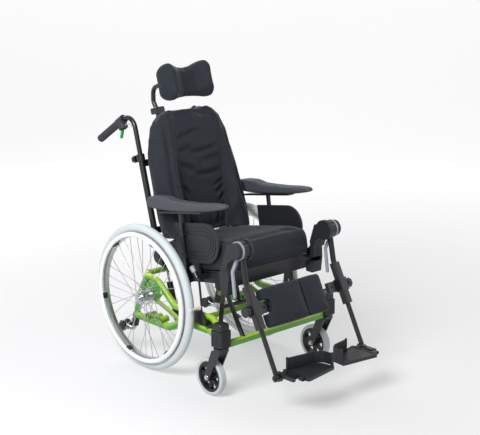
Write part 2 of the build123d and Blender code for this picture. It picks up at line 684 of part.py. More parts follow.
# ------------------------------------------------------------------ seat
def seat():
    x0, x1 = RAIL_X - RAIL_T / 2, RAIL_X + RAIL_T / 2
    top = RAIL_BOTTOM + RAIL_H
    hy, hz = RECLINE_HINGE
    side = [
        (SEAT_FRONT, top),
        (SEAT_FRONT, RAIL_BOTTOM + 6),
        (SEAT_FRONT + 30, RAIL_BOTTOM),
        (SEAT_REAR - 80, RAIL_BOTTOM),
        (hy - 28, hz - 42),
        (hy + 20, hz - 22),
        (hy + 26, hz + 18),
        (hy - 10, hz + 26),
        (SEAT_REAR, top),
    ]
    rail = outline(side, x0, x1)
    rail += across(x0, x1, RECLINE_HINGE, 60)
    pivot_bore = across(0, 2 * RAIL_X, (0, 0), TILT_PIN_D + 2 * RUN)
    lug = link((0, 0), (0, top - 24), 38, x0 - LUG_T, x1)
    rail = rail + lug - pivot_bore
    rail += across(SPRING_X - EYE_T, x1, RECLINE_HINGE, HINGE_PIN_D)
    rail += across(x1 - 1, x1 + 5, RECLINE_HINGE, 26)
    post_socket = box_between(
        (x1, POST_Y - POST_W / 2 - 5, RAIL_BOTTOM + 4), (POST_X + POST_W / 2 + 4, POST_Y + POST_W / 2 + 5, top - 4)
    )
    post_socket -= box_between(
        (POST_X - POST_W / 2 - 0.1, POST_Y - POST_W / 2 - 0.1, 0),
        (POST_X + POST_W / 2 + 0.1, POST_Y + POST_W / 2 + 0.1, top + 10),
    )
    rail += post_socket
    hanger_pin = rod((HANGER_PIVOT_X, HANGER_PIVOT_Y, 20), (HANGER_PIVOT_X, HANGER_PIVOT_Y, 50), 12)
    hanger_ear = box_between((x1 - 2, HANGER_PIVOT_Y - 12, 26), (HANGER_PIVOT_X, HANGER_PIVOT_Y + 12, 44))
    hanger_ear += rod((HANGER_PIVOT_X, HANGER_PIVOT_Y, 26), (HANGER_PIVOT_X, HANGER_PIVOT_Y, 44), 24)
    pin_up = rod((HANGER_PIVOT_X, HANGER_PIVOT_Y, 10), (HANGER_PIVOT_X, HANGER_PIVOT_Y, 60), 10)
    rail += hanger_ear + pin_up
    add("seat_rails", both(SEAT * rail))

    front = box_between((-x0, SEAT_FRONT, 5), (x0, SEAT_FRONT + 22, top))
    rear = box_between((-x0, SEAT_REAR - 40, RAIL_BOTTOM + 11), (x0, SEAT_REAR - 18, top))
    pan = box_between((-CUSHION_HALF + 6, SEAT_FRONT, top), (CUSHION_HALF - 6, SEAT_REAR - 2, top + PAN_T))
    pan = pan + front + rear
    add("seat_pan", SEAT * pan)


def crowned_block(half, front, rear, low, high, crown):
    """A cushion: its sides drawn in towards the foot and its top crowned, as lofts through arcs."""
    sections = []
    for y, lift, inset in (
        (front, -34, 14),
        (front + 14, -9, 4),
        (front + 60, 0, 0),
        ((front + rear) / 2, 2, 0),
        (rear - 50, 0, 0),
        (rear, -8, 8),
    ):
        h = half - inset
        top = high - crown + lift
        place = Plane(origin=(0, y, 0), x_dir=(1, 0, 0), z_dir=(0, -1, 0))
        edge = [
            Line((-h + 9, low), (h - 9, low)),
            Line((h - 9, low), (h, low + 26)),
            Line((h, low + 26), (h - 1, top - 14)),
            ThreePointArc((h - 1, top - 14), (h - 8, top - 1), (h - 24, top + 3)),
            ThreePointArc((h - 24, top + 3), (0, top + crown), (-h + 24, top + 3)),
            ThreePointArc((-h + 24, top + 3), (-h + 8, top - 1), (-h + 1, top - 14)),
            Line((-h + 1, top - 14), (-h, low + 26)),
            Line((-h, low + 26), (-h + 9, low)),
        ]
        sections.append(place * make_face(Wire(edge)))
    return loft(sections, ruled=True)


def seat_cushion():
    low = RAIL_BOTTOM + RAIL_H + PAN_T + GAP
    cushion = crowned_block(CUSHION_HALF, CUSHION_FRONT, CUSHION_REAR, low, low + CUSHION_H, 5)
    add("seat_cushion", SEAT * cushion)


def side_panels():
    low, high = PANEL_LOW, PANEL_LOW + PANEL_H
    middle = (low + high) / 2
    r = PANEL_H / 2
    nose = POST_Y - 118
    rear = POST_Y + 56
    x0 = SIDE_PANEL_X - SIDE_PANEL_T / 2
    x1 = SIDE_PANEL_X + SIDE_PANEL_T / 2

    def shape(shrink, y_end):
        rr = r - shrink
        face = Pos(nose, middle) * Circle(rr)
        face += Pos((nose + y_end) / 2, middle) * Rectangle(y_end - nose, 2 * rr)
        return face

    panel = extrude(Plane.YZ.offset(x0) * shape(0, rear), SIDE_PANEL_T)
    for shrink in (14, 28, 42):
        groove = shape(shrink, POST_Y - 18) - shape(shrink + 4, POST_Y - 22)
        panel -= extrude(Plane.YZ.offset(x1 - 1.6) * groove, 5)
    half = POST_W / 2
    for z in (middle - 50, middle + 40):
        guide = box_between(
            (x1 - 1, POST_Y - half - 5, z - 9), (POST_X + half + 4, POST_Y + half + 5, z + 9), 2, Axis.Z
        )
        guide -= box_between(
            (POST_X - half - 0.1, POST_Y - half - 0.1, z - 20), (POST_X + half + 0.1, POST_Y + half + 0.1, z + 20)
        )
        panel += guide
    rail_side = RAIL_X + RAIL_T / 2
    foot_low, foot_high = RAIL_BOTTOM + 14, RAIL_BOTTOM + RAIL_H - 10
    for tongue_y, foot_y, end_y in ((POST_Y - 66, POST_Y - 66, POST_Y - 26), (POST_Y + 14, POST_Y + 22, POST_Y + 52)):
        panel += box_between((x0, tongue_y, RAIL_BOTTOM + 10), (x1, end_y, low + 4))
        panel += box_between((rail_side, foot_y, foot_low), (x0 + 1, end_y, foot_high))
    add("side_panels", both(SEAT * panel))


# the arm pad's stations: behind the post, out from it, how much narrower, low and high over the post, corner
ARM_PAD_STATIONS = (
    (184, 3, 11, 24, 50, 12),
    (172, 3, 4, 16, 60, 13),
    (118, 3, 0, 8, 64, 13),
    (62, 2, 0, 3, 60, 13),
    (14, 1, 0, 1, 45, 12),
    (-40, 1, 0, 0, 39, 11),
    (-116, -1, 0, 0, 33, 10),
    (-196, -5, 1, 2, 31, 9),
    (-251, -9, 7, 7, 27, 7),
    (-270, -12, 16, 12, 21, 4),
)


def armrests():
    half = POST_W / 2
    post = box_between(
        (POST_X - half, POST_Y - half, 0), (POST_X + half, POST_Y + half, POST_TOP - 7), 2, Axis.Z
    )
    post += box_between(
        (POST_X - 18, POST_Y - 140, POST_TOP - 7), (POST_X + 18, POST_Y + 130, POST_TOP), 3, Axis.Z
    )
    sections = []
    for ahead, out, narrow, low, high, r in ARM_PAD_STATIONS:
        half_w = ARM_PAD_HALF - narrow
        sections.append(rounded_section(POST_X + out, half_w, POST_TOP + low, POST_TOP + high, r, POST_Y + ahead))
    pad = loft(sections, ruled=True)
    for side, sign in SIDES:
        add(f"arm_post_{side}", sided(SEAT * post, sign))
        add(f"arm_pad_{side}", sided(SEAT * pad, sign))


# ------------------------------------------------------------------ backrest
def backrest():
    x = BACK_POST_X
    r = BACK_POST_D / 2
    inner = HANDLE_D + 2 * RUN
    post = rod((x, 0, 40), (x, 0, POST_TUBE_TOP), BACK_POST_D)
    plate_x = RAIL_X - RAIL_T / 2 - GAP
    strap = outline(
        [(-15, -9), (0, -18), (15, -11), (29, 34), (46, 82), (38, 96), (-13, 100), (-15, 40)],
        plate_x - STRAP_T,
        plate_x,
        5,
    )
    post += strap
    post -= rod((x, 0, 120), (x, 0, POST_TUBE_TOP + 5), inner)
    post -= across(plate_x - STRAP_T - 1, plate_x + 1, (0, 0), HINGE_PIN_D + 2 * RUN)
    knob_z = POST_TUBE_TOP - 12
    collar = rod((x, 0, POST_TUBE_TOP - 26), (x, 0, POST_TUBE_TOP + 4), BACK_POST_D + 8)
    collar -= rod((x, 0, POST_TUBE_TOP - 40), (x, 0, POST_TUBE_TOP + 9), inner)
    knob = rod((x, r, knob_z), (x, r + 18, knob_z), 9)
    knob += rod((x, r + 16, knob_z), (x, r + 34, knob_z), 30)
    for i in range(6):
        a = math.radians(60 * i)
        dx, dz = 16.5 * math.cos(a), 16.5 * math.sin(a)
        knob -= rod((x + dx, r + 10, knob_z + dz), (x + dx, r + 40, knob_z + dz), 7)
    post += collar + knob
    frame = Compound(children=both(post))
    for z in (110, 390):
        frame += box_between((-x, -4, z - 14), (x, 4, z + 14))
        for y in (-120, 120):
            frame += box_between((y - 14, SHELL_REAR, z - 12), (y + 14, 0, z + 12))
    # the headrest's clamp stands on the upper cross bar
    frame += box_between((-20, 0, 396), (20, STEM_Y + 14, 430), 4, Axis.Z)
    frame += box_between((-20, 0, 378), (20, 12, 400))
    slot_half = STEM_T / 2 + 0.1
    frame -= box_between((-STEM_W / 2 - 0.1, STEM_Y - slot_half, 350), (STEM_W / 2 + 0.1, STEM_Y + slot_half, 480))
    frame -= rod((x, 0, 120), (x, 0, POST_TUBE_TOP + 9), inner)
    frame -= rod((-x, 0, 120), (-x, 0, POST_TUBE_TOP + 9), inner)
    add("back_frame", BACK * frame)

    wide = SHELL_HALF
    shell_out = [(4 - wide, 92), (wide - 4, 92), (wide, 420), (wide - 42, 540), (42 - wide, 540), (-wide, 420)]
    face = fillet(make_face(Polyline(*shell_out, close=True)).vertices(), 24)
    shell = extrude(Plane.XZ.offset(-SHELL_REAR) * face, SHELL_T)
    add("back_shell", BACK * shell)


# the back cushion's stations, in the backrest's frame:
# height, half width, panel half width, ridge depth, panel depth, rear face
BACK_STATIONS = (
    (50, 200, 122, -168, -84, -44),
    (150, 205, 124, -166, -90, -33),
    (264, 204, 122, -153, -106, -33),
    (400, 200, 116, -141, -130, -33),
    (480, 188, 110, -137, -133, -46),
    (545, 166, 96, -132, -129, -60),
    (572, 138, 78, -124, -122, -70),
    (584, 112, 60, -112, -110, -84),
)


def back_cushion():
    sections = []
    for z, half, panel, ridge, middle, rear in BACK_STATIONS:
        side = rear - 10
        shoulder = ridge + min(26, (side - ridge) / 2)
        ridge_x = (half + panel) / 2 + 4
        place = Plane(origin=(0, 0, z), x_dir=(1, 0, 0), z_dir=(0, 0, 1))
        crest, seam = (ridge_x, ridge), (panel, middle)
        crest_right, seam_right = (-ridge_x, ridge), (-panel, middle)
        edge = [
            Line((-half + 16, rear), (half - 16, rear)),
            Line((half - 16, rear), (half, side)),
            Line((half, side), (half, shoulder)),
            TangentArc(crest, (half, shoulder), tangent=(1, 0)),
            TangentArc(crest, seam, tangent=(-1, 0)),
            ThreePointArc(seam, (0, middle - 4), seam_right),
            TangentArc(crest_right, seam_right, tangent=(1, 0)),
            TangentArc(crest_right, (-half, shoulder), tangent=(-1, 0)),
            Line((-half, shoulder), (-half, side)),
            Line((-half, side), (-half + 16, rear)),
        ]
        sections.append(place * make_face(Wire(edge)))
    cushion = loft(sections, ruled=True)
    cushion -= Pos(0, SHELL_REAR - SHELL_T - GAP + 50, 300) * Box(500, 100, 800)
    cushion = BACK * cushion
    low = RAIL_BOTTOM + RAIL_H + PAN_T + GAP + CUSHION_H + 3
    seat_top = SEAT * (Pos(0, 0, low - 200) * Box(600, 1200, 400))
    add("back_cushion", cushion - seat_top)


# the headrest's stations: from the middle, ahead of the ball, behind it, below it, above it
HEADREST_HALF = (
    (0, 38, 12, 86, 38),
    (36, 42, 12, 88, 42),
    (64, 58, 12, 92, 52),
    (86, 78, 12, 97, 58),
    (98, 86, 12, 98, 58),
    (110, 70, 10, 94, 52),
    (120, 40, 8, 84, 40),
    (126, 12, 4, 66, 22),
)
HEADREST_STATIONS = [(-x, *rest) for x, *rest in reversed(HEADREST_HALF[1:])] + list(HEADREST_HALF)


def headrest():
    ball_y, ball_z = HEADREST_BALL
    stem = box_between((-STEM_W / 2, STEM_Y - STEM_T / 2, 300), (STEM_W / 2, STEM_Y + STEM_T / 2, STEM_TOP))
    bends = [(0, STEM_Y + 18, ball_z - 67), (0, STEM_Y + 2, ball_z - 10)]
    arm = tube([(0, STEM_Y, STEM_TOP - 12), *bends, (0, ball_y + 4, ball_z)], HEADREST_ARM_D, (30, 36))
    clamp = box_between((-24, STEM_Y - 18, STEM_TOP - 16), (24, STEM_Y + 18, STEM_TOP + 12), 6, Axis.Y)
    ball_r = HEADREST_BALL_D / 2
    ball = Pos(*vec(0, HEADREST_BALL)) * Sphere(ball_r)
    post = stem + arm + clamp + ball
    add("headrest_arm", BACK * post)

    sections = []
    for x, ahead, behind, below, above in HEADREST_STATIONS:
        thick, height = ahead + behind, above + below
        middle = ball_y + (behind - ahead) / 2
        place = Plane(origin=(x, middle, ball_z + (above - below) / 2), x_dir=(0, 1, 0), z_dir=(1, 0, 0))
        sections.append(place * RectangleRounded(thick, height, thick * 0.42))
    pad = loft(sections, ruled=True)
    pad -= Pos(0, ball_y, ball_z) * Sphere(ball_r + GAP)
    pad -= Pos(0, ball_y + 21, ball_z) * Rot(90, 0, 0) * Cylinder(ball_r + 2, 36)
    add("headrest_pad", BACK * pad)


# ------------------------------------------------------------------ push handles
def push_handles():
    x = BACK_POST_X
    drop = math.radians(HANDLE_DROP)

    def on_grip(s, down=0.0):
        return (
            s * math.cos(drop) - down * math.sin(drop),
            HANDLE_CORNER_Z - s * math.sin(drop) - down * math.cos(drop),
        )

    end = on_grip(262)
    handle = tube([(x, 0, 190), (x, 0, HANDLE_CORNER_Z), vec(x, end)], HANDLE_D, (HANDLE_BEND_R,))
    grip = rod(vec(x, on_grip(116)), vec(x, on_grip(266)), GRIP_D)
    grip = fillet(grip.edges(), 4)
    for i in range(9):
        s = 130 + i * 12
        groove = rod(vec(x, on_grip(s)), vec(x, on_grip(s + 3)), GRIP_D + 4)
        groove -= rod(vec(x, on_grip(s - 1)), vec(x, on_grip(s + 4)), GRIP_D - 2)
        grip -= groove
    grip -= rod(vec(x, on_grip(100)), vec(x, end), HANDLE_D)
    block = rod(vec(x, on_grip(68)), vec(x, on_grip(115)), 38)
    cheek = rod(vec(x, on_grip(92, 0)), vec(x, on_grip(92, 34)), 40)
    cheek &= box_between((x - 17, -100, 400), (x + 17, 300, 700))
    block = block + cheek
    block -= box_between((x - 5.3, on_grip(118)[0] - 44, 500), (x + 5.3, on_grip(118)[0] + 10, on_grip(92, 14)[1]))
    pivot = on_grip(100, 24)
    block += across(x - 16, x + 16, pivot, 5)
    block -= rod(vec(x, on_grip(40)), vec(x, on_grip(140)), HANDLE_D)
    tip = (pivot[0] + 17, pivot[1] - 40)
    lever = link(pivot, (pivot[0] + 2, pivot[1] - 16), 11, x - 5, x + 5)
    lever += link((pivot[0] + 2, pivot[1] - 16), tip, 9, x - 5, x + 5)
    lever -= across(x - 10, x + 10, pivot, 5 + 2 * RUN)
    add("handle_grips", both(BACK * grip), both(BACK * block))
    add("release_levers", both(BACK * lever))

    # the cable leaves the block's lower front and enters the tube behind its bend
    leave = on_grip(72, 26)
    route = [
        (x, leave[0] - 2 * GAP, leave[1]),
        (x, leave[0] - 16.5, leave[1] + 2.2),
        (x, leave[0] - 33.5, leave[1] - 3.4),
        (x, HANDLE_D / 2 - 3, leave[1] - 22.5),
    ]
    radii = []
    for a, b, c in zip(route, route[1:], route[2:]):
        before, after = Vector(*b) - Vector(*a), Vector(*c) - Vector(*b)
        turn = math.radians(before.get_angle(after))
        radii.append(0.45 * min(before.length, after.length) / math.tan(turn / 2))
    print("release cable radii", [round(value, 1) for value in radii])
    cable = tube(route, CABLE_D, radii)
    add("release_cables", both(BACK * cable))
    end_run = Vector(*route[-1]) - Vector(*route[-2])
    seat_hole = rod(route[-2], tuple(Vector(*route[-1]) + end_run.normalized() * 1.5), CABLE_D + 2 * GAP)
    add("handle_tubes", both(BACK * (handle - seat_hole)))


# ------------------------------------------------------------------ legrests
def legrests():
    knee_seat = KNEE_IN_SEAT
    x_in = CUSHION_HALF - CHEEK_IN
    x_cheek = x_in + CHEEK_T
    x_knuckle = x_cheek + KNUCKLE_T
    x_ring = x_knuckle + RING_T
    x_out = x_ring + OUTER_CHEEK_T
    ky, kz = knee_seat
    py = HANGER_PIVOT_Y
    body = [
        (py + 6, 70),
        (py + 6, -14),
        (py - 28, -20),
        (py - 44, 40),
        (py - 48, 80),
        (py - 64, 112),
        (ky + 12, kz - 28),
        (ky + 4, kz + 20),
        (py - 66, kz + 22),
        (py - 22, 92),
    ]
    neck = outline(body, x_in, x_out - 8)
    inner_head = across(x_in, x_cheek, knee_seat, KNEE_D + 8)
    outer_head = across(x_ring, x_out, knee_seat, KNEE_D - 8)
    hanger = neck + inner_head + outer_head
    hanger -= box_between((HANGER_PIVOT_X + 22, -300, -80), (x_out + 5, 0, 84))
    slot = across(x_cheek, x_ring, knee_seat, KNEE_D + 16)
    hanger -= slot
    hanger += across(x_in + 2, x_out - 2, knee_seat, 20)
    hanger -= rod((HANGER_PIVOT_X, HANGER_PIVOT_Y, -60), (HANGER_PIVOT_X, HANGER_PIVOT_Y, 62), 10 + 2 * RUN)
    hanger -= box_between((150, HANGER_PIVOT_Y - 60, 25.7), (HANGER_PIVOT_X + 14, 0, 44.3))
    hanger -= box_between((150, CUSHION_FRONT - 3, 52), (CUSHION_HALF + 1.5, 0, 300))
    hanger = max(hanger.solids(), key=lambda s: s.volume)

    lever_ring = across(x_knuckle + GAP, x_ring - GAP, knee_seat, KNEE_D)
    bend, end = (py - 69, 74), (py - 67, -20)
    strip = link((ky + 8, kz - 30), bend, 13, x_knuckle + GAP, x_ring - GAP)
    strip += link(bend, end, 13, x_knuckle + GAP, x_ring - GAP)
    knee_lever = lever_ring + strip
    knee_lever -= across(x_knuckle - 5, x_ring + 5, knee_seat, 20 + 2 * RUN)

    knuckle = across(x_cheek + GAP, x_knuckle, (0, 0), KNEE_D)
    knuckle -= across(x_cheek - 5, x_knuckle + 5, (0, 0), 20 + 2 * RUN)
    for i in range(12):
        a = math.radians(30 * i)
        spot = ((KNEE_D / 2) * math.cos(a), (KNEE_D / 2) * math.sin(a))
        knuckle -= across(x_cheek, x_knuckle + 1, spot, 4)
    lx = LEG_X
    upper = tube([(lx, 2, -20), (lx, LEG_TUBE_Y, -124), (lx, LEG_TUBE_Y, -180)], LEG_TUBE_D, (60,))
    upper -= across(x_cheek - 5, x_knuckle + 5, (0, 0), 40)
    low = SLEEVE_TOP - SLEEVE_L
    sleeve = box_between((lx - 17, LEG_TUBE_Y - 15, low), (lx + 17, LEG_TUBE_Y + 15, SLEEVE_TOP), 7, Axis.Z)
    leg = knuckle + upper + sleeve
    leg -= rod((lx, LEG_TUBE_Y, low - 2), (lx, LEG_TUBE_Y, low + SLEEVE_L - 18), LEG_LOWER_D + 2 * RUN)
    bracket_z = -226.0
    leg += box_between((CALF_ARM_X, LEG_TUBE_Y + 4, bracket_z - 22), (lx, LEG_TUBE_Y + 20, bracket_z + 22), 4, Axis.Y)
    for dx in (-34, -52):
        leg -= rod((lx + dx, 0, bracket_z), (lx + dx, 90, bracket_z), 9)
    leg += box_between((lx - 21, LEG_TUBE_Y - 19, bracket_z - 26), (lx + 21, LEG_TUBE_Y + 20, bracket_z + 26), 5, Axis.Z)
    leg += across(lx + 18, lx + 30, (LEG_TUBE_Y + 4, bracket_z), 12)
    knob = across(lx + 28, lx + 48, (LEG_TUBE_Y + 4, bracket_z), 40)
    for i in range(8):
        a = math.radians(45 * i)
        spot = (LEG_TUBE_Y + 4 + 21 * math.cos(a), bracket_z + 21 * math.sin(a))
        knob -= across(lx + 20, lx + 60, spot, 6)
    leg += knob
    leg -= rod((lx, LEG_TUBE_Y, low - 2), (lx, LEG_TUBE_Y, low + SLEEVE_L - 18), LEG_LOWER_D + 2 * RUN)
    leg += across(CALF_ARM_X - CALF_PIN_IN, CALF_ARM_X + 1, (LEG_TUBE_Y + 12, bracket_z), PIN_D)

    lower = rod((lx, LEG_TUBE_Y, -LEG_L), (lx, LEG_TUBE_Y, low + 110), LEG_LOWER_D)
    heel = HEEL
    lower = LEG * lower
    lower += across(lx - 12, lx + 12, heel, 26)
    lower += across(lx + 11, lx + 16, heel, 15)
    bar_z = FOOT_TOP_Z - 12
    foot_y = FOOT_Y
    bar_x = FOOT_HINGE_X + 9
    lower += box_between((bar_x, foot_y - 18, bar_z - 9), (bar_x + 16, heel[0] + 12, bar_z + 9), 4, Axis.Y)
    lower += box_between((bar_x, heel[0] - 10, heel[1] - 12), (lx, heel[0] + 12, bar_z + 9))
    hinge = (FOOT_HINGE_X, FOOT_HINGE_Z)
    lower += rod((hinge[0], foot_y - 14, hinge[1]), (hinge[0], foot_y + 14, hinge[1]), 14)
    lower += box_between((hinge[0], foot_y - 14, hinge[1] - 7), (bar_x + 1, foot_y + 14, hinge[1] + 5))
    lower += rod((hinge[0], foot_y - 44, hinge[1]), (hinge[0], foot_y + 50, hinge[1]), 7)

    for side, sign in SIDES:
        add(f"leg_hanger_{side}", sided(SEAT * hanger, sign))
        add(f"knee_lever_{side}", sided(SEAT * knee_lever, sign))
        add(f"leg_upper_{side}", sided(LEG * leg, sign))
        add(f"leg_lower_{side}", sided(lower, sign))
        add(f"footplate_{side}", [sided(s, sign) for s in footplate(hinge, sign)])
        add(f"calf_pad_{side}", sided(LEG * calf_pad(bracket_z, sign), sign))


def footplate(hinge, side):
    """The plate with its rim, the heel loop and the peg that holds the loop's inner end."""
    shift = FOOT_LEFT_IN if side > 0 else 0.0
    outer = hinge[0] - 9 - 0.6 * shift
    y = FOOT_Y
    rim = [
        (outer, y + 66),
        (60 - shift, y + 28),
        (45 - shift, y + 12),
        (38 - shift, y - 44),
        (outer - 6, y - 68),
        (outer, y - 62),
    ]
    face = make_face(Polyline(*rim, close=True))
    low = FOOT_TOP_Z - FOOT_T
    plate = extrude(Plane.XY.offset(low) * face, FOOT_T)
    recess = offset(face, -7)
    plate -= extrude(Plane.XY.offset(FOOT_TOP_Z - 2) * recess, 5)
    for y0 in (y + 40, y - 46):
        plate += box_between((outer - 6, y0, hinge[1] - 7), (hinge[0], y0 + 16, hinge[1] + 7))
        plate += rod((hinge[0], y0, hinge[1]), (hinge[0], y0 + 16, hinge[1]), 14)
    plate -= rod((hinge[0], y - 120, hinge[1]), (hinge[0], y + 80, hinge[1]), 7 + 2 * RUN)
    gap_low = (outer - GAP, y - 14 - GAP, hinge[1] - 49)
    gap_high = (hinge[0] + 30, y + 14 + GAP, hinge[1] + 51)
    plate -= box_between(gap_low, gap_high)
    peg_at = (37.0 - shift, y - 32)
    outer_peg_at = (outer - 4 - 2.4 * shift, y + 49 - 0.3 * shift)
    corners = [(70 - shift, y + 30, 0), (40 - shift, y + 12, 0)]
    loop_path = FilletPolyline((*outer_peg_at, 0), *corners, (peg_at[0], peg_at[1] + 6, 0), radius=(40, 20))
    band = sweep(
        Plane(origin=loop_path @ 0, z_dir=loop_path % 0, x_dir=(0, 0, 1)) * Rectangle(46, 4), path=loop_path
    )
    band = Pos(0, 0, FOOT_TOP_Z + 24.5) * band
    peg = rod((peg_at[0], peg_at[1], FOOT_TOP_Z - 3), (peg_at[0], peg_at[1], FOOT_TOP_Z + 50), 12)
    outer_peg = rod((*outer_peg_at, FOOT_TOP_Z - 3), (*outer_peg_at, FOOT_TOP_Z + 50), 9)
    plate += peg + outer_peg
    band -= plate
    return [plate, max(band.solids(), key=lambda s: s.volume)]


def calf_pad(bracket_z, side):
    """A calf pad with rounded ends, drawn in towards its rim, on its ear that turns on the bracket's pin."""
    inner = CALF_SEAM_X * side + 1.0
    outer = CALF_ARM_X + 20 - (CALF_LEFT_SHORT if side > 0 else 0)
    mid_z = bracket_z - 6
    half_h = 78.0
    front, thick = LEG_TUBE_Y - 22, 46.0
    sections = []
    length = outer - inner
    for share, squeeze, back in (
        (0, 0.80, 6),
        (0.05, 0.95, 1),
        (0.2, 1.0, 0),
        (0.5, 1.0, 0),
        (0.82, 1.0, 2),
        (0.94, 0.93, 8),
        (1, 0.76, 16),
    ):
        x = inner + length * share
        t = thick * squeeze
        place = Plane(origin=(x, front + thick / 2 + back, mid_z), x_dir=(0, 1, 0), z_dir=(1, 0, 0))
        sections.append(place * RectangleRounded(t, 2 * half_h * (0.9 + 0.1 * squeeze), t * 0.4))
    pad = loft(sections, ruled=True)
    pad -= box_between((CALF_ARM_X - 12, front + 8, bracket_z - 26), (CALF_ARM_X + 40, front + 60, bracket_z + 26))
    pad -= across(CALF_ARM_X - CALF_PIN_IN - 1, CALF_ARM_X + 8, (LEG_TUBE_Y + 12, bracket_z), PIN_D + 2 * RUN)
    return pad


# ------------------------------------------------------------------ build and write
rear_wheels()
casters()
chassis()
antitippers()
brakes()
gas_springs()
seat()
seat_cushion()
side_panels()
armrests()
backrest()
back_cushion()
headrest()
push_handles()
legrests()

os.makedirs("parts", exist_ok=True)
for name, solids in parts.items():
    moved = [Pos(0, AXLE_TO_MIDDLE, 0) * Solid(s.wrapped) for s in solids]
    export_step(moved[0] if len(moved) == 1 else Compound(children=moved), f"parts/{name}.step")
print(len(parts), "sub-parts")
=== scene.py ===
"""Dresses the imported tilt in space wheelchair: painted frame, spoked wheels, moulded covers, woven
cushions, foam arm pads and the small hardware, in a plain studio."""

import json
import math

import bmesh
import bpy
import numpy as np
from bpy.props import FloatProperty, PointerProperty, StringProperty
from mathutils import Matrix, Vector


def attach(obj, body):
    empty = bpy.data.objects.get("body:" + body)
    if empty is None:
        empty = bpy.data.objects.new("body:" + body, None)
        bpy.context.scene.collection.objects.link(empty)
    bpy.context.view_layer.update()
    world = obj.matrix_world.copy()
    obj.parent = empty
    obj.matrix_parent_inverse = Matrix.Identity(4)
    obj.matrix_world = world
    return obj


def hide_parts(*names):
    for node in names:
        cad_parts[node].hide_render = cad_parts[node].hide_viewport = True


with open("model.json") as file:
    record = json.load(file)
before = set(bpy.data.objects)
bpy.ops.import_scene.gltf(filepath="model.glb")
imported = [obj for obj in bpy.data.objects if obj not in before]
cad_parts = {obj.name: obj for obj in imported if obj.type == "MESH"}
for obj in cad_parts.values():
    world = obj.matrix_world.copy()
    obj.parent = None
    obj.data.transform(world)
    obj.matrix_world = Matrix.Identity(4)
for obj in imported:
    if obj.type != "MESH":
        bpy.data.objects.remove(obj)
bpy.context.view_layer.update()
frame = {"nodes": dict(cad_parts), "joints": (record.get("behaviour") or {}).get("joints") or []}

bl_info = {
    "name": "Tilt in space wheelchair",
    "version": (1, 0, 0),
    "blender": (4, 5, 0),
    "location": "3D View > Sidebar > Wheelchair",
    "description": "Dresses a tilt in space wheelchair with paint, covers, cushions and hardware",
    "category": "Object",
}

MM = 0.001

# where second finishes lie, as radii round the axis of what carries them
CASTER_BOLT_R = 10 * MM
BRAKE_PIN_R = 9 * MM
LEVER_CAP_R = 26 * MM
HANDRIM_INNER_R = 253.5 * MM  # the tabs lie inside this radius
END_DEPTH = 3 * MM  # a node's end is what lies this near to its furthest point

# how far the seat, the backrest and the lower legs lean back, in degrees
SEAT_LEAN = 8.5
BACK_LEAN = 15.0
LEG_LEAN = 26.6

STUFFING_HOLDS = 0.9  # the share of a cover's pull inward that its stuffing withstands

# in millimetres, in the frame of what carries the piece: what stays held while a cover settles
BACK_HELD_Y = -52  # behind this, against the shell
SEAT_HELD_Z = 80  # below this, against the pan
BALL_HELD = 32  # this near the headrest's ball
CALF_HELD_Y = 40  # behind this, against the bracket

# and where a piece ends so that it stays clear of its neighbours
BACK_REAR_Y = -35.4
SEAT_HALF = 215.4
SEAT_BOTTOM_Z = 61.3
CALF_ENDS = {"left": (15.2, 400.0), "right": (-400.0, 12.8)}
ARM_PLATE_Z = 300.0

# seams and ridges, in millimetres in the same frames
CREST_OUT = 30  # the bolsters' crest, out from the seam
CREST_W = 15
CREST_RISE = 4.0
SEAT_SIDE_SEAM_X = 192
SEAT_UPPER_SEAM_Z = 150
SEAT_LOWER_SEAM_Z = 74
CALF_SEAM_Y = 33
ARM_SEAM_Z = 306
ARM_SEAM_W = 3.0


# ------------------------------------------------------------------ sizes and colours
class ChairSizes(bpy.types.PropertyGroup):
    thread: FloatProperty(
        name="Cover thread spacing",
        description="Spacing of the cover's threads, about three times as coarse as real so that it shows",
        default=0.0018,
        unit="LENGTH",
    )
    seam: FloatProperty(
        name="Seam width",
        description="Width of the sewn seams that are drawn into the cushions",
        default=0.006,
        unit="LENGTH",
    )
    voxel: FloatProperty(
        name="Cushion mesh size",
        description="Edge length of the cushions' mesh before the cloth settles",
        default=0.006,
        unit="LENGTH",
    )
    swell: FloatProperty(
        name="Cushion swell",
        description="How far a cushion's cover may move from its cut shape",
        default=0.012,
        unit="LENGTH",
    )
    folds: FloatProperty(
        name="Fold depth",
        description="Depth of the loose folds across the backrest's middle panel",
        default=0.009,
        unit="LENGTH",
    )


def colour_property(name, description, default):
    return StringProperty(name=name, description=f"{description}, sRGB hex", default=default)


class ChairColours(bpy.types.PropertyGroup):
    # the lime coat as painted lit on its upper faces, and its painted shade on its sides and lower faces
    lime: colour_property("Lime coat", "Lime candy coat on its upper faces", "#A8C834")
    lime_painted_shade: colour_property("Deep lime", "Lime candy coat on its lower faces", "#3F921E")
    black_coat: colour_property("Black coat", "Black powder coat", "#111317")
    cover: colour_property("Cover", "Woven cushion cover", "#20252D")
    arm: colour_property("Arm pads", "Skinned foam of the arm pads", "#3D4047")
    tyre: colour_property("Tyres", "Light grey rear tyres", "#BFC6C8")
    handrim: colour_property("Handrims", "White coat of the handrims", "#E6E8E8")


def srgb(hexa):
    """An sRGB hex value as linear RGBA."""
    out = []
    for i in (1, 3, 5):
        c = int(hexa[i : i + 2], 16) / 255
        out.append(c / 12.92 if c <= 0.04045 else ((c + 0.055) / 1.055) ** 2.4)
    return (*out, 1.0)


def sizes():
    return bpy.context.scene.chair_sizes


def colours():
    return bpy.context.scene.chair_colours


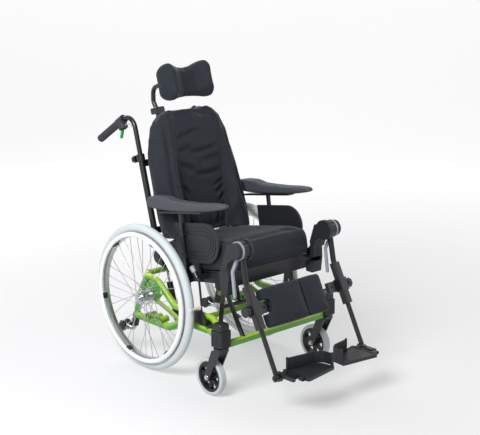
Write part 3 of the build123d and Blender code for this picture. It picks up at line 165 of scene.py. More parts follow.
# ------------------------------------------------------------------ materials
def node(tree, kind, links=(), **settings):
    """Adds a node, sets its properties and input values, and links sources into its inputs."""
    made = tree.nodes.new(kind)
    for key, value in settings.items():
        if key.startswith("in_"):
            label = key[3:]
            socket = made.inputs[int(label)] if label.isdigit() else made.inputs[label.replace("_", " ")]
            socket.default_value = value
        else:
            setattr(made, key, value)
    for source, target in links:
        tree.links.new(source, made.inputs[target])
    return made


def new_material(name):
    """A material with an empty tree, its surface shader and its output."""
    material = bpy.data.materials.new(name)
    material.use_nodes = True
    tree = material.node_tree
    tree.nodes.clear()
    shader = node(tree, "ShaderNodeBsdfPrincipled")
    node(tree, "ShaderNodeOutputMaterial", links=[(shader.outputs[0], "Surface")])
    return material, tree, shader


def mottled(tree, place, colour, spread, scale):
    """A colour that varies a little over the surface, in patches of the given scale."""
    patch = node(tree, "ShaderNodeTexNoise", links=[(place, "Vector")], in_Scale=scale, in_Detail=4.0)
    dark = tuple(c * (1 - spread) for c in colour[:3]) + (1.0,)
    light = tuple(min(1.0, c * (1 + spread)) for c in colour[:3]) + (1.0,)
    ramp = node(tree, "ShaderNodeMix", data_type="RGBA", links=[(patch.outputs["Fac"], 0)])
    ramp.inputs[6].default_value = dark
    ramp.inputs[7].default_value = light
    return ramp.outputs[2]


def grain(tree, place, scale, strength, distance, detail=3.0, kind="ShaderNodeTexNoise"):
    """A bump from fine noise."""
    height = node(tree, kind, links=[(place, "Vector")], in_Scale=scale)
    if "Detail" in height.inputs and detail is not None:
        height.inputs["Detail"].default_value = detail
    out = height.outputs["Fac"] if "Fac" in height.outputs else height.outputs["Distance"]
    return node(tree, "ShaderNodeBump", links=[(out, "Height")], in_Strength=strength, in_Distance=distance)


def object_place(tree):
    return node(tree, "ShaderNodeTexCoord").outputs["Object"]


def powder_coat(name, colour, roughness, coat=0.0):
    """Powder coat baked on steel: an orange peel ripple about 1.5 mm across, and slightly uneven gloss."""
    material, tree, shader = new_material(name)
    place = object_place(tree)
    tree.links.new(mottled(tree, place, colour, 0.06, 14.0), shader.inputs["Base Color"])
    peel = grain(tree, place, 650.0, 0.12, 0.0006)
    tree.links.new(peel.outputs[0], shader.inputs["Normal"])
    smudge = node(tree, "ShaderNodeTexNoise", links=[(place, "Vector")], in_Scale=30.0, in_Detail=3.0)
    gloss = node(tree, "ShaderNodeMapRange", links=[(smudge.outputs["Fac"], 0)])
    gloss.inputs[3].default_value = roughness - 0.06
    gloss.inputs[4].default_value = roughness + 0.08
    tree.links.new(gloss.outputs[0], shader.inputs["Roughness"])
    shader.inputs["Coat Weight"].default_value = coat
    shader.inputs["Coat Roughness"].default_value = 0.12
    shader.inputs["IOR"].default_value = 1.5
    return material


def moulded_plastic(name, colour, roughness, grit=900.0, depth=0.10, spread=0.05):
    """Injection moulded ABS or nylon: a spark-eroded grain of about 1 mm and a soft, even sheen."""
    material, tree, shader = new_material(name)
    place = object_place(tree)
    tree.links.new(mottled(tree, place, colour, spread, 9.0), shader.inputs["Base Color"])
    bump = grain(tree, place, grit, depth, 0.0004)
    tree.links.new(bump.outputs[0], shader.inputs["Normal"])
    shader.inputs["Roughness"].default_value = roughness
    shader.inputs["IOR"].default_value = 1.49
    return material


def rubber(name, colour, roughness, grit=500.0):
    """Vulcanised rubber: matt, faintly dusty in patches, with a fine pitted skin."""
    material, tree, shader = new_material(name)
    place = object_place(tree)
    tree.links.new(mottled(tree, place, colour, 0.07, 22.0), shader.inputs["Base Color"])
    bump = grain(tree, place, grit, 0.18, 0.0006)
    tree.links.new(bump.outputs[0], shader.inputs["Normal"])
    shader.inputs["Roughness"].default_value = roughness
    shader.inputs["IOR"].default_value = 1.52
    return material


def turned_metal(name, colour, roughness, brushed=0.0):
    """Bare metal that was rolled, turned or drawn: tight streaks and a soft reflection."""
    material, tree, shader = new_material(name)
    place = object_place(tree)
    tree.links.new(mottled(tree, place, colour, 0.05, 40.0), shader.inputs["Base Color"])
    stretch = node(tree, "ShaderNodeMapping", links=[(place, "Vector")])
    stretch.inputs["Scale"].default_value = (40.0, 900.0, 900.0)
    streak = node(tree, "ShaderNodeTexNoise", in_Scale=1.0, in_Detail=2.0)
    tree.links.new(stretch.outputs[0], streak.inputs["Vector"])
    bump = node(tree, "ShaderNodeBump", in_Strength=brushed, in_Distance=0.0002)
    tree.links.new(streak.outputs["Fac"], bump.inputs["Height"])
    tree.links.new(bump.outputs[0], shader.inputs["Normal"])
    shader.inputs["Metallic"].default_value = 1.0
    shader.inputs["Roughness"].default_value = roughness
    return material


def woven_cover(name, colour, pitch):
    """Polyester cover, plain woven: crossed threads, a dull sheen at grazing angles and faint mottling."""
    material, tree, shader = new_material(name)
    place = object_place(tree)
    tone = mottled(tree, place, colour, 0.10, 11.0)
    frequency = 0.5 / pitch
    heights = []
    for direction in ("X", "Z"):
        wave = node(
            tree,
            "ShaderNodeTexWave",
            links=[(place, "Vector")],
            wave_type="BANDS",
            bands_direction=direction,
            in_Scale=frequency,
            in_Distortion=0.6,
            in_Detail=1.0,
        )
        heights.append(wave.outputs["Fac"])
    weave = node(tree, "ShaderNodeMath", operation="MAXIMUM")
    tree.links.new(heights[0], weave.inputs[0])
    tree.links.new(heights[1], weave.inputs[1])
    slub = node(tree, "ShaderNodeTexNoise", links=[(place, "Vector")], in_Scale=420.0, in_Detail=3.0)
    height = node(tree, "ShaderNodeMath", operation="MULTIPLY")
    tree.links.new(weave.outputs[0], height.inputs[0])
    tree.links.new(slub.outputs["Fac"], height.inputs[1])
    bump = node(tree, "ShaderNodeBump", in_Strength=0.28, in_Distance=0.0008)
    tree.links.new(height.outputs[0], bump.inputs["Height"])
    shade = node(tree, "ShaderNodeMix", data_type="RGBA", blend_type="MULTIPLY", in_0=0.22)
    tree.links.new(tone, shade.inputs[6])
    tree.links.new(height.outputs[0], shade.inputs[7])
    tree.links.new(shade.outputs[2], shader.inputs["Base Color"])
    tree.links.new(bump.outputs[0], shader.inputs["Normal"])
    shader.inputs["Roughness"].default_value = 0.78
    shader.inputs["Sheen Weight"].default_value = 0.16
    shader.inputs["Sheen Roughness"].default_value = 0.4
    shader.inputs["IOR"].default_value = 1.35
    return material


def skinned_foam(name, colour):
    """Integral skin polyurethane foam: a soft pebbled skin with grains of about 1.2 mm."""
    material, tree, shader = new_material(name)
    place = object_place(tree)
    tree.links.new(mottled(tree, place, colour, 0.05, 16.0), shader.inputs["Base Color"])
    pebble = grain(tree, place, 820.0, 0.22, 0.0006, kind="ShaderNodeTexVoronoi", detail=None)
    tree.links.new(pebble.outputs[0], shader.inputs["Normal"])
    shader.inputs["Roughness"].default_value = 0.62
    shader.inputs["IOR"].default_value = 1.48
    return material


def painted_light_and_shade(material, painted_shade_colour):
    """Painted light and shade on the lime coat: yellow green where it faces up, as if lit, and a deeper green
    as painted shade on its sides and underneath.
    """
    tree = material.node_tree
    shader = next(n for n in tree.nodes if n.type == "BSDF_PRINCIPLED")
    facing = node(tree, "ShaderNodeSeparateXYZ")
    tree.links.new(node(tree, "ShaderNodeNewGeometry").outputs["Normal"], facing.inputs[0])
    upward = node(tree, "ShaderNodeMapRange", interpolation_type="SMOOTHSTEP")
    tree.links.new(facing.outputs["Z"], upward.inputs[0])
    upward.inputs[1].default_value = -0.2
    upward.inputs[2].default_value = 0.95
    tint = node(tree, "ShaderNodeMix", data_type="RGBA", links=[(upward.outputs[0], 0)], in_6=painted_shade_colour)
    tree.links.new(shader.inputs["Base Color"].links[0].from_socket, tint.inputs[7])
    tree.links.new(tint.outputs[2], shader.inputs["Base Color"])
    return material


def spotted(material, centre, radius, hexa, roughness, metal=False):
    """Gives what lies within the radius of a line along X its own finish, such as bolt heads and tabs."""
    tree = material.node_tree
    shader = next(n for n in tree.nodes if n.type == "BSDF_PRINCIPLED")
    flat = node(tree, "ShaderNodeVectorMath", operation="MULTIPLY", in_1=(0.0, 1.0, 1.0))
    tree.links.new(object_place(tree), flat.inputs[0])
    gap = node(tree, "ShaderNodeVectorMath", operation="DISTANCE", in_1=(0.0, centre.y, centre.z))
    tree.links.new(flat.outputs[0], gap.inputs[0])
    near = node(tree, "ShaderNodeMath", operation="LESS_THAN", in_1=radius)
    tree.links.new(gap.outputs["Value"], near.inputs[0])
    within = near.outputs[0]
    tint = node(tree, "ShaderNodeMix", data_type="RGBA", links=[(within, 0)], in_7=srgb(hexa))
    tree.links.new(shader.inputs["Base Color"].links[0].from_socket, tint.inputs[6])
    tree.links.new(tint.outputs[2], shader.inputs["Base Color"])
    gloss = node(tree, "ShaderNodeMix", links=[(within, 0)], in_3=roughness)
    gloss.inputs[2].default_value = shader.inputs["Roughness"].default_value
    if shader.inputs["Roughness"].links:
        tree.links.new(shader.inputs["Roughness"].links[0].from_socket, gloss.inputs[2])
    tree.links.new(gloss.outputs[0], shader.inputs["Roughness"])
    if metal:
        tree.links.new(within, shader.inputs["Metallic"])
    return material


def black_coat(name):
    """Black powder coat on steel tube and plate."""
    return powder_coat(name, srgb(colours().black_coat), 0.36, coat=0.15)


FINISHES = {}


def finish_of(name):
    """The material of that name, made on first use."""
    if name in FINISHES:
        return FINISHES[name]
    c = colours()
    made = {
        # lime powder coat: wet looking gloss over an orange peel, with painted light and shade, yellower on
        # faces that point up and deeper green on its sides and underneath
        "lime_powder_coat": lambda: painted_light_and_shade(
            powder_coat(name, srgb(c.lime), 0.34, coat=0.35), srgb(c.lime_painted_shade)
        ),
        # black powder coat on steel tube and plate: satin, with a tight highlight along the tubes
        "black_powder_coat": lambda: black_coat(name),
        # the same coat on the caster forks, with the bright zinc plated axle bolts
        "fork_coat": lambda: spotted(
            black_coat(name), joint_at("caster_spin_left"), CASTER_BOLT_R, "#C4C6C8", 0.26, metal=True
        ),
        # moulded ABS covers: matt charcoal with an eroded grain
        "moulded_abs": lambda: moulded_plastic(name, srgb("#1A1C20"), 0.5),
        # glass filled nylon wheel cores, caps and sockets: darker, a little glossier
        "moulded_nylon": lambda: moulded_plastic(name, srgb("#111215"), 0.42),
        # grey moulded release strips: smooth, semi gloss
        "moulded_grey": lambda: moulded_plastic(name, srgb("#8E94A3"), 0.38, depth=0.05),
        # black coated brake arms that hold a pale moulded acetal pin
        "pin_coat": lambda: spotted(
            black_coat(name), end_of("brake_pin_left", 0), BRAKE_PIN_R, "#CFCBC2", 0.4
        ),
        # black coated brake levers with a grey moulded cap on their end
        "lever_coat": lambda: spotted(
            black_coat(name), end_of("brake_lever_left", 2), LEVER_CAP_R, "#8B8F96", 0.4
        ),
        # white plastic coat on the handrims: smooth and bright, on tabs of black nylon
        "plastic_coated_rim": lambda: spotted(
            moulded_plastic(name, srgb(c.handrim), 0.32, grit=200.0, depth=0.03, spread=0.02),
            *(joint_at("rear_wheel_spin_left"), HANDRIM_INNER_R, "#1A1B1D", 0.45),
        ),
        # light grey non marking tyre rubber
        "grey_tyre_rubber": lambda: rubber(name, srgb(c.tyre), 0.62),
        # polyurethane caster tyres: greyer and smoother
        "caster_polyurethane": lambda: rubber(name, srgb("#B4B9BB"), 0.5),
        # anodised aluminium rims: pale, satin
        "anodised_aluminium": lambda: turned_metal(name, srgb("#C9CBCD"), 0.34, 0.15),
        # stainless spokes and hubs: bright with soft streaks
        "stainless_steel": lambda: turned_metal(name, srgb("#B9BBBD"), 0.28, 0.1),
        # zinc plated bolts and tubes
        "zinc_plate": lambda: turned_metal(name, srgb("#C4C6C8"), 0.24, 0.1),
        # woven polyester cushion covers
        "woven_cover": lambda: woven_cover(name, srgb(c.cover), sizes().thread),
        # integral skin foam arm pads
        "arm_pad_foam": lambda: skinned_foam(name, srgb(c.arm)),
        # moulded rubber grips
        "grip_rubber": lambda: rubber(name, srgb("#2A2B2F"), 0.7, grit=900.0),
        # green moulded levers
        "moulded_green": lambda: moulded_plastic(name, srgb("#18A350"), 0.35, depth=0.04),
        # grey sheath of the release cables
        "cable_sheath": lambda: moulded_plastic(name, srgb("#A9ABAC"), 0.4, depth=0.03),
    }[name]()
    FINISHES[name] = made
    return made


PAINTED = {
    "lime_powder_coat": ("rear_hoop", "side_frames", "cross_tubes"),
    "fork_coat": ("caster_fork_",),
    "black_powder_coat": (
        "tilt_brackets",
        "seat_rails",
        "seat_pan",
        "back_frame",
        "arm_post_",
        "leg_upper_",
        "leg_lower_",
        "headrest_arm",
        "handle_tubes",
        "spring_cylinders",
    ),
    "moulded_abs": ("side_panels", "back_shell", "leg_hanger_", "footplate_", "caster_housings"),
    "moulded_nylon": ("frame_clamps", "antitip_wheel_", "caster_core_"),
    "moulded_grey": ("knee_lever_",),
    "plastic_coated_rim": ("handrim_",),
    "grey_tyre_rubber": ("rear_tyre_",),
    "caster_polyurethane": ("caster_tyre_",),
    "anodised_aluminium": ("rear_rim_",),
    "stainless_steel": ("rear_hub_", "rear_axles"),
    "zinc_plate": ("spring_rods", "antitip_tube_"),
    "pin_coat": ("brake_pin_",),
    "lever_coat": ("brake_lever_",),
    "woven_cover": ("seat_cushion", "back_cushion", "headrest_pad", "calf_pad_"),
    "arm_pad_foam": ("arm_pad_",),
    "grip_rubber": ("handle_grips",),
    "moulded_green": ("release_levers",),
    "cable_sheath": ("release_cables",),
}


# ------------------------------------------------------------------ places
def joint_at(name):
    """Where a joint's axis passes, in metres."""
    return Vector(next(j["pos_m"] for j in frame["joints"] if j["name"] == name))


def end_of(name, axis):
    """The middle of the end that a node reaches out to along X, Y or Z, in metres."""
    places, _ = points_of(frame["nodes"][name].data)
    reach = places[:, axis]
    return Vector(places[reach > reach.max() - END_DEPTH].mean(axis=0))


def leaning(origin, degrees):
    """A frame that stands on a point and leans back by so many degrees."""
    return Matrix.Translation(origin) @ Matrix.Rotation(-math.radians(degrees), 4, "X")


SEAT = leaning(joint_at("tilt"), SEAT_LEAN)
BACK = leaning(joint_at("recline"), BACK_LEAN)
KNEE = joint_at("leg_elevation_left")
LEG = leaning(Vector((0.0, KNEE.y, KNEE.z)), LEG_LEAN)


# ------------------------------------------------------------------ soft pieces
def points_of(mesh):
    """The mesh's vertices and their normals, as arrays."""
    count = len(mesh.vertices)
    places = np.empty(count * 3)
    normals = np.empty(count * 3)
    mesh.vertices.foreach_get("co", places)
    mesh.vertices.foreach_get("normal", normals)
    return places.reshape(count, 3), normals.reshape(count, 3)


def write_points(mesh, places):
    mesh.vertices.foreach_set("co", places.ravel())
    mesh.update()


def into(place, points, turn_only=False):
    """World points, or directions, in the frame's own millimetres."""
    inverse = np.array(place.inverted())
    if turn_only:
        return points @ inverse[:3, :3].T
    return (points @ inverse[:3, :3].T + inverse[:3, 3]) / MM


def out_of(place, points):
    """Points in the frame's millimetres, in the world."""
    forward = np.array(place)
    return (points * MM) @ forward[:3, :3].T + forward[:3, 3]


def evened(name, source, edge):
    """A copy of a CAD node's mesh with even faces, as a new object."""
    thing = bpy.data.objects.new(name, source.data.copy())
    bpy.context.scene.collection.objects.link(thing)
    remesh = thing.modifiers.new("even", "REMESH")
    remesh.mode = "VOXEL"
    remesh.voxel_size = edge
    remesh.use_smooth_shade = True
    return applied(thing)


def applied(thing):
    """The object with its modifiers worked into its mesh."""
    bpy.context.view_layer.update()
    graph = bpy.context.evaluated_depsgraph_get()
    mesh = bpy.data.meshes.new_from_object(thing.evaluated_get(graph))
    thing.modifiers.clear()
    old = thing.data
    thing.data = mesh
    bpy.data.meshes.remove(old)
    mesh.name = thing.name
    return thing


def softened(thing, rounds, factor=0.5):
    smooth = thing.modifiers.new("soft", "SMOOTH")
    smooth.iterations = rounds
    smooth.factor = factor
    return applied(thing)


def divided(thing):
    """One level of subdivision, worked into the mesh."""
    smooth = thing.modifiers.new("finer", "SUBSURF")
    smooth.levels = 1
    smooth.render_levels = 1
    return applied(thing)


def stuffed(thing, inset, cap, pinned, pressure=4.0):
    """Lets the cover swell as cloth over its stuffing, with no point moving further than the cap."""
    places, normals = points_of(thing.data)
    start = places - normals * inset
    write_points(thing.data, start)
    held = thing.vertex_groups.new(name="held")
    held.add([int(i) for i in np.nonzero(pinned(places))[0]], 1.0, "REPLACE")
    cloth = thing.modifiers.new("cover", "CLOTH")
    settings = cloth.settings
    settings.quality = 5
    settings.mass = 0.25
    settings.tension_stiffness = 12.0
    settings.compression_stiffness = 12.0
    settings.shear_stiffness = 4.0
    settings.bending_stiffness = 0.4
    settings.use_pressure = True
    settings.uniform_pressure_force = pressure
    settings.vertex_group_mass = "held"
    settings.effector_weights.gravity = 0.0
    cloth.collision_settings.use_collision = False
    cloth.collision_settings.use_self_collision = False
    scene = bpy.context.scene
    for moment in range(1, 21):
        scene.frame_set(moment)
    thing = applied(thing)
    swollen, _ = points_of(thing.data)
    moved = swollen - start
    inward = np.minimum((moved * normals).sum(axis=1, keepdims=True), 0.0)
    moved -= normals * inward * STUFFING_HOLDS
    far = np.linalg.norm(moved, axis=1, keepdims=True)
    moved *= np.minimum(1.0, cap / np.maximum(far, 1e-9))
    write_points(thing.data, start + moved)
    scene.frame_set(1)
    return thing


def fold(x, z, start, end, width, bend=0.0):
    """How far a loose fold sinks at (x, z): a valley along its line, a roll beside it, fading at its ends."""
    dx, dz = end[0] - start[0], end[1] - start[1]
    length = math.hypot(dx, dz)
    along = ((x - start[0]) * dx + (z - start[1]) * dz) / length**2
    aside = ((x - start[0]) * dz - (z - start[1]) * dx) / length + bend * (1 - (2 * along - 1) ** 2)
    fade = np.clip(1 - np.abs(2 * along - 1) ** 3, 0, 1)
    valley = np.exp(-((aside / width) ** 2))
    roll = np.exp(-(((aside + 1.9 * width) / (1.4 * width)) ** 2))
    return fade * (valley - 0.55 * roll)


def groove(distance, width):
    """A sewn seam: a narrow valley at distance nought."""
    return np.exp(-((distance / (width / 2)) ** 2))


def dressed(thing, finish, slot, body, fill, *nodes):
    """Gives a soft piece its cover, hangs it on what it rides on and hides the CAD nodes it stands for."""
    thing.data.materials.clear()
    thing.data.materials.append(finish_of(finish))
    thing.data.shade_smooth()
    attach(thing, body)
    if nodes:
        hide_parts(*nodes)


# folds of the backrest's middle panel: start, end (x, height in mm), width, depth share, bend
BACK_FOLDS = (
    ((-118, 452), (24, 486), 11, 1.0, 6),
    ((-120, 404), (-40, 424), 12, 0.9, -4),
    ((-60, 398), (112, 418), 13, 1.0, -10),
    ((-116, 356), (-36, 316), 12, 0.9, 5),
    ((-34, 306), (114, 312), 12, 0.9, -7),
    ((10, 352), (116, 364), 12, 0.6, 5),
    ((62, 246), (122, 270), 8, 0.9, 2),
    ((70, 214), (124, 246), 8, 0.9, 2),
    ((84, 178), (124, 214), 7, 0.9, 2),
    ((-112, 268), (-66, 226), 9, 0.7, 3),
    ((-110, 214), (-74, 172), 8, 0.6, 3),
    ((-14, 84), (-34, 196), 9, 0.6, 3),
    ((30, 84), (34, 190), 9, 0.6, -3),
    ((66, 84), (86, 170), 8, 0.7, -3),
    ((-60, 84), (-86, 150), 8, 0.6, 3),
)
# pleats of the side bolsters: distance from the middle and height at each end, width, depth share
SIDE_PLEATS = (
    ((150, 560), (176, 170), 9, 0.6),
    ((188, 470), (176, 120), 8, 0.5),
    ((168, 340), (190, 90), 8, 0.6),
    ((196, 300), (200, 110), 7, 0.4),
)


def seam_x(z):
    """Where the backrest's seams between middle panel and bolsters run, from the middle."""
    return np.interp(z, [70, 150, 400, 480, 545, 594], [122, 124, 116, 110, 96, 62])


class CHAIR_OT_back_cushion(bpy.types.Operator):
    """Adds the backrest's cushion with its bolsters, seams and loose folds"""

    bl_idname = "chair.back_cushion"
    bl_label = "Back cushion"

    def execute(self, context):
        size = sizes()
        thing = evened("back_cushion_cover", frame["nodes"]["back_cushion"], size.voxel)
        thing = softened(thing, 3)
        thing = stuffed(thing, 0.002, size.swell, lambda p: into(BACK, p)[:, 1] > BACK_HELD_Y)
        thing = divided(thing)
        places, normals = points_of(thing.data)
        local = into(BACK, places)
        facing = into(BACK, normals, turn_only=True)
        x, y, z = local.T
        front = np.clip(-facing[:, 1] * 2.0, 0, 1)
        side = np.clip(np.abs(facing[:, 0]) * 1.6, 0, 1)
        sunk = np.zeros(len(x))
        inside = np.clip((seam_x(z) - np.abs(x)) / 10, 0, 1)
        for start, end, width, share, bend in BACK_FOLDS:
            sunk += share * size.folds / MM * fold(x, z, start, end, width, bend) * inside * front
        for start, end, width, share in SIDE_PLEATS:
            outside = np.clip((np.abs(x) - seam_x(z)) / 8, 0, 1)
            sunk += share * 0.6 * size.folds / MM * fold(np.abs(x), z, start, end, width) * outside * front
            sunk += share * 0.4 * size.folds / MM * fold(-y + 20, z, start, end, width) * side
        sunk += 1.3 * groove(np.abs(x) - seam_x(z), size.seam / MM) * front
        crest = np.exp(-(((np.abs(x) - seam_x(z) - CREST_OUT) / CREST_W) ** 2))
        sunk -= CREST_RISE * crest * front * np.clip((z - 60) / 120, 0, 1)
        slack = 1.1 * np.sin(x / 23 + z / 31) * np.sin(z / 43 - x / 57 + 1.3)
        local -= facing * (sunk + slack * front)[:, None]
        local[:, 1] = np.minimum(local[:, 1], BACK_REAR_Y)
        write_points(thing.data, out_of(BACK, local))
        dressed(thing, "woven_cover", "seat_fabric", "backrest", 0.6, "back_cushion")
        return {"FINISHED"}


class CHAIR_OT_seat_cushion(bpy.types.Operator):
    """Adds the seat's cushion with its rolled front and its seams"""

    bl_idname = "chair.seat_cushion"
    bl_label = "Seat cushion"

    def execute(self, context):
        size = sizes()
        thing = evened("seat_cushion_cover", frame["nodes"]["seat_cushion"], size.voxel)
        thing = softened(thing, 4)
        thing = stuffed(thing, 0.002, 0.008, lambda p: into(SEAT, p)[:, 2] < SEAT_HELD_Z)
        thing = divided(thing)
        places, normals = points_of(thing.data)
        local = into(SEAT, places)
        facing = into(SEAT, normals, turn_only=True)
        x, y, z = local.T
        seam = size.seam / MM
        ahead = np.clip(-facing[:, 1] + 0.4 * facing[:, 2], 0, 1)
        sunk = 0.9 * groove(np.abs(x) - SEAT_SIDE_SEAM_X, seam) * ahead
        sunk += 1.2 * groove(z - SEAT_UPPER_SEAM_Z, seam) * np.clip(np.abs(facing[:, 0]) * 1.3, 0, 1)
        sunk += 1.6 * groove(z - SEAT_LOWER_SEAM_Z, seam) * (z < 90)
        slack = 1.2 * np.sin(x / 61 + 0.7) * np.sin(y / 47 + x / 83)
        slack += 2.4 * np.exp(-(((y - 40) / 90) ** 2)) * np.cos(x / 70)
        top = np.clip(facing[:, 2] * 1.5, 0, 1)
        sunk += slack * top
        for start, end, width, share in (
            ((-150, 250), (-60, 190), 12, 0.5),
            ((150, 250), (70, 200), 12, 0.5),
            ((-180, -40), (-110, -100), 14, 0.4),
            ((180, -50), (120, -100), 14, 0.4),
        ):
            sunk += share * 5 * fold(x, y, start, end, width) * top
        local -= facing * sunk[:, None]
        local[:, 0] = np.clip(local[:, 0], -SEAT_HALF, SEAT_HALF)
        local[:, 2] = np.maximum(local[:, 2], SEAT_BOTTOM_Z)
        write_points(thing.data, out_of(SEAT, local))
        dressed(thing, "woven_cover", "seat_fabric", "seat", 0.8, "seat_cushion")
        return {"FINISHED"}


class CHAIR_OT_headrest(bpy.types.Operator):
    """Adds the headrest's padded cover"""

    bl_idname = "chair.headrest"
    bl_label = "Headrest"

    def execute(self, context):
        size = sizes()
        thing = evened("headrest_cover", frame["nodes"]["headrest_pad"], size.voxel * 0.75)
        thing = softened(thing, 4)
        ball = into(BACK, np.array(joint_at("headrest_tilt")))
        thing = stuffed(thing, 0.002, 0.007, lambda p: np.abs(into(BACK, p) - ball).max(axis=1) < BALL_HELD)
        thing = divided(thing)
        places, normals = points_of(thing.data)
        local = into(BACK, places)
        facing = into(BACK, normals, turn_only=True)
        x, y, z = local.T
        front = np.clip(-facing[:, 1] * 2.0, 0, 1)
        rim = np.clip(1 - np.abs(facing[:, 1]), 0, 1)
        sunk = 0.8 * groove(y - ball[1] + 2, size.seam / MM) * rim
        sunk += 0.8 * np.sin(x / 19 + 0.4) * np.sin(z / 27 + x / 45) * front
        local -= facing * sunk[:, None]
        write_points(thing.data, out_of(BACK, local))
        dressed(thing, "woven_cover", "seat_fabric", "headrest_pad", 0.9, "headrest_pad")
        return {"FINISHED"}


class CHAIR_OT_calf_pads(bpy.types.Operator):
    """Adds the padded covers of the two calf pads"""

    bl_idname = "chair.calf_pads"
    bl_label = "Calf pads"

    def execute(self, context):
        size = sizes()
        for side in ("left", "right"):
            thing = evened(f"calf_cover_{side}", frame["nodes"][f"calf_pad_{side}"], size.voxel * 0.75)
            thing = softened(thing, 3)
            thing = stuffed(thing, 0.002, 0.006, lambda p: into(LEG, p)[:, 1] > CALF_HELD_Y)
            thing = divided(thing)
            places, normals = points_of(thing.data)
            local = into(LEG, places)
            facing = into(LEG, normals, turn_only=True)
            x, y, z = local.T
            front = np.clip(-facing[:, 1] * 2.0, 0, 1)
            rim = 1 - np.clip(np.abs(facing[:, 1]) * 1.4, 0, 1)
            sunk = 1.0 * groove(y - CALF_SEAM_Y, size.seam / MM) * rim
            sunk += 0.9 * np.sin(x / 31 + 0.4) * np.sin(z / 23 + x / 37) * front
            sunk += 2.0 * fold(np.abs(x), z, (60, -130), (120, -165), 10) * front
            local -= facing * sunk[:, None]
            local[:, 0] = np.clip(local[:, 0], *CALF_ENDS[side])
            write_points(thing.data, out_of(LEG, local))
            dressed(thing, "woven_cover", "seat_fabric", f"calf_pad_{side}", 0.8, f"calf_pad_{side}")
        return {"FINISHED"}


class CHAIR_OT_arm_pads(bpy.types.Operator):
    """Adds the skinned foam arm pads"""

    bl_idname = "chair.arm_pads"
    bl_label = "Arm pads"

    def execute(self, context):
        for side in ("left", "right"):
            thing = evened(f"arm_pad_skin_{side}", frame["nodes"][f"arm_pad_{side}"], sizes().voxel * 0.6)
            thing = softened(thing, 4)
            thing = divided(thing)
            places, normals = points_of(thing.data)
            local = into(SEAT, places)
            facing = into(SEAT, normals, turn_only=True)
            edge = 1 - np.clip(np.abs(facing[:, 2]) * 1.4, 0, 1)
            sunk = 0.5 * groove(local[:, 2] - ARM_SEAM_Z, ARM_SEAM_W) * edge
            local -= facing * sunk[:, None]
            local[:, 2] = np.maximum(local[:, 2], ARM_PLATE_Z)
            write_points(thing.data, out_of(SEAT, local))
            dressed(thing, "arm_pad_foam", "arm_pad_foam", f"armrest_{side}", 1.0, f"arm_pad_{side}")
        return {"FINISHED"}


class CHAIR_OT_finishes(bpy.types.Operator):
    """Gives each carried-over part its real finish"""

    bl_idname = "chair.finishes"
    bl_label = "Finishes"

    def execute(self, context):
        left = set(frame["nodes"])
        for finish, stems in PAINTED.items():
            for name, thing in frame["nodes"].items():
                if any(name == stem or (stem.endswith("_") and name.startswith(stem)) for stem in stems):
                    thing.data.materials.clear()
                    thing.data.materials.append(finish_of(finish))
                    left.discard(name)
        if left:
            raise RuntimeError(f"no finish for {sorted(left)}")
        return {"FINISHED"}


# ------------------------------------------------------------------ stage
CAMERA_PLACE = Vector((-3.1006, -3.4199, 1.7145))
CAMERA_TARGET = Vector((0.0044, -0.0452, 0.6322))
CAMERA_ROLL = -0.455
CAMERA_LENS = 87.88
CAMERA_SHIFT = (-0.00217, 0.00067)
# the floor's own glow: from this far to this far from the chair, in metres, it rises from one strength
# to the other
FLOOR_GLOW = (0.8, 4.5, 0.37, 0.65)
# the floor, in metres: half its width, its near edge, where its rear curve starts, the curve and its top
FLOOR_HALF, FLOOR_NEAR, FLOOR_FLAT, FLOOR_CURVE, FLOOR_TOP = 14.0, -9.0, 4.2, 1.6, 9.0
FLOOR_STEPS = 24
# the white surroundings' strength for diffuse light, in reflections and to the eye
AMBIENT, MIRRORED, SEEN = 0.28, 0.5, 0.96
# soft lamps: name, place, diameter in metres and power in watts
LAMPS = (
    ("key", (-2.9, -1.0, 3.0), 2.0, 175.0),
    ("fill", (2.8, -2.4, 2.6), 3.0, 24.0),
    ("back", (0.6, 3.2, 2.8), 2.4, 45.0),
)
LAMPS_AIM = Vector((0, 0, 0.6))


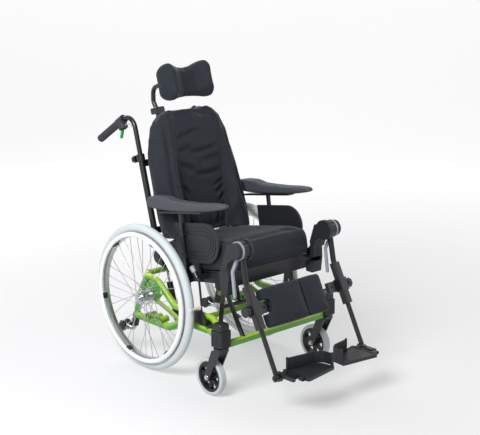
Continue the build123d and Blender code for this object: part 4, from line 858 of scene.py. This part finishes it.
class CHAIR_OT_studio(bpy.types.Operator):
    """Adds the floor, the soft lights and the camera"""

    bl_idname = "chair.studio"
    bl_label = "Studio"

    def execute(self, context):
        scene = context.scene
        scene.view_settings.view_transform = "Standard"

        data = bpy.data.cameras.new("camera")
        data.sensor_width = 36.0
        data.lens = CAMERA_LENS
        data.shift_x, data.shift_y = CAMERA_SHIFT
        data.clip_end = 100.0
        camera = bpy.data.objects.new("camera", data)
        camera.location = CAMERA_PLACE
        toward = (CAMERA_TARGET - CAMERA_PLACE).to_track_quat("-Z", "Y")
        roll = Matrix.Rotation(math.radians(CAMERA_ROLL), 4, "Z")
        camera.rotation_mode = "QUATERNION"
        camera.rotation_quaternion = (toward.to_matrix().to_4x4() @ roll).to_quaternion()
        scene.collection.objects.link(camera)
        scene.camera = camera

        sweep = bmesh.new()
        ahead = Vector((-CAMERA_PLACE.x, -CAMERA_PLACE.y, 0)).normalized()
        right = Vector((ahead.y, -ahead.x, 0))
        bend = [
            (FLOOR_FLAT + FLOOR_CURVE * math.sin(a), FLOOR_CURVE - FLOOR_CURVE * math.cos(a))
            for a in np.linspace(0, math.pi / 2, FLOOR_STEPS)
        ]
        lines = []
        for y, z in [(FLOOR_NEAR, 0.0), *bend, (FLOOR_FLAT + FLOOR_CURVE, FLOOR_TOP)]:
            row = [ahead * y + right * x + Vector((0, 0, z)) for x in (-FLOOR_HALF, FLOOR_HALF)]
            lines.append([sweep.verts.new(place) for place in row])
        for first, second in zip(lines, lines[1:]):
            sweep.faces.new((first[0], first[1], second[1], second[0]))
        mesh = bpy.data.meshes.new("floor")
        sweep.to_mesh(mesh)
        sweep.free()
        mesh.shade_smooth()
        floor = bpy.data.objects.new("floor", mesh)
        scene.collection.objects.link(floor)
        material, tree, shader = new_material("studio_floor")
        shader.inputs["Base Color"].default_value = srgb("#B0B0B2")
        shader.inputs["Roughness"].default_value = 0.9
        middle = node(tree, "ShaderNodeVectorMath", operation="LENGTH", links=[(object_place(tree), 0)])
        glow = node(tree, "ShaderNodeMapRange", interpolation_type="SMOOTHSTEP")
        tree.links.new(middle.outputs["Value"], glow.inputs[0])
        for socket, value in zip(glow.inputs[1:5], FLOOR_GLOW):
            socket.default_value = value
        shader.inputs["Emission Color"].default_value = (1.0, 1.0, 1.0, 1.0)
        tree.links.new(glow.outputs[0], shader.inputs["Emission Strength"])
        floor.data.materials.append(material)

        world = bpy.data.worlds.new("studio")
        world.use_nodes = True
        tree = world.node_tree
        tree.nodes.clear()
        path = node(tree, "ShaderNodeLightPath")
        mirrored = node(tree, "ShaderNodeMapRange", links=[(path.outputs["Is Glossy Ray"], 0)])
        mirrored.inputs[3].default_value = AMBIENT
        mirrored.inputs[4].default_value = MIRRORED
        seen = node(tree, "ShaderNodeMix", links=[(path.outputs["Is Camera Ray"], 0)], in_3=SEEN)
        tree.links.new(mirrored.outputs[0], seen.inputs[2])
        sky = node(tree, "ShaderNodeBackground", links=[(seen.outputs[0], "Strength")])
        sky.inputs["Color"].default_value = (1.0, 1.0, 1.0, 1.0)
        node(tree, "ShaderNodeOutputWorld", links=[(sky.outputs[0], "Surface")])
        scene.world = world

        for name, place, size, power in LAMPS:
            light = bpy.data.lights.new(name, "AREA")
            light.shape = "DISK"
            light.size = size
            light.energy = power
            lamp = bpy.data.objects.new(name, light)
            lamp.location = place
            lamp.rotation_euler = (LAMPS_AIM - Vector(place)).to_track_quat("-Z", "Y").to_euler()
            scene.collection.objects.link(lamp)
        return {"FINISHED"}


# ------------------------------------------------------------------ panel and registration
OPERATORS = (
    CHAIR_OT_studio,
    CHAIR_OT_finishes,
    CHAIR_OT_back_cushion,
    CHAIR_OT_seat_cushion,
    CHAIR_OT_headrest,
    CHAIR_OT_calf_pads,
    CHAIR_OT_arm_pads,
)


class CHAIR_PT_parts(bpy.types.Panel):
    """Lists the steps that dress the chair"""

    bl_idname = "CHAIR_PT_parts"
    bl_label = "Wheelchair"
    bl_space_type = "VIEW_3D"
    bl_region_type = "UI"
    bl_category = "Wheelchair"

    def draw(self, context):
        for operator in OPERATORS:
            self.layout.operator(operator.bl_idname)


CLASSES = (ChairSizes, ChairColours, *OPERATORS, CHAIR_PT_parts)


def register():
    for cls in CLASSES:
        bpy.utils.register_class(cls)
    bpy.types.Scene.chair_sizes = PointerProperty(type=ChairSizes)
    bpy.types.Scene.chair_colours = PointerProperty(type=ChairColours)


def unregister():
    del bpy.types.Scene.chair_colours
    del bpy.types.Scene.chair_sizes
    for cls in reversed(CLASSES):
        bpy.utils.unregister_class(cls)


def main():
    register()
    for operator in OPERATORS:
        group, name = operator.bl_idname.split(".")
        getattr(getattr(bpy.ops, group), name)()


if __name__ == "__main__":
    main()
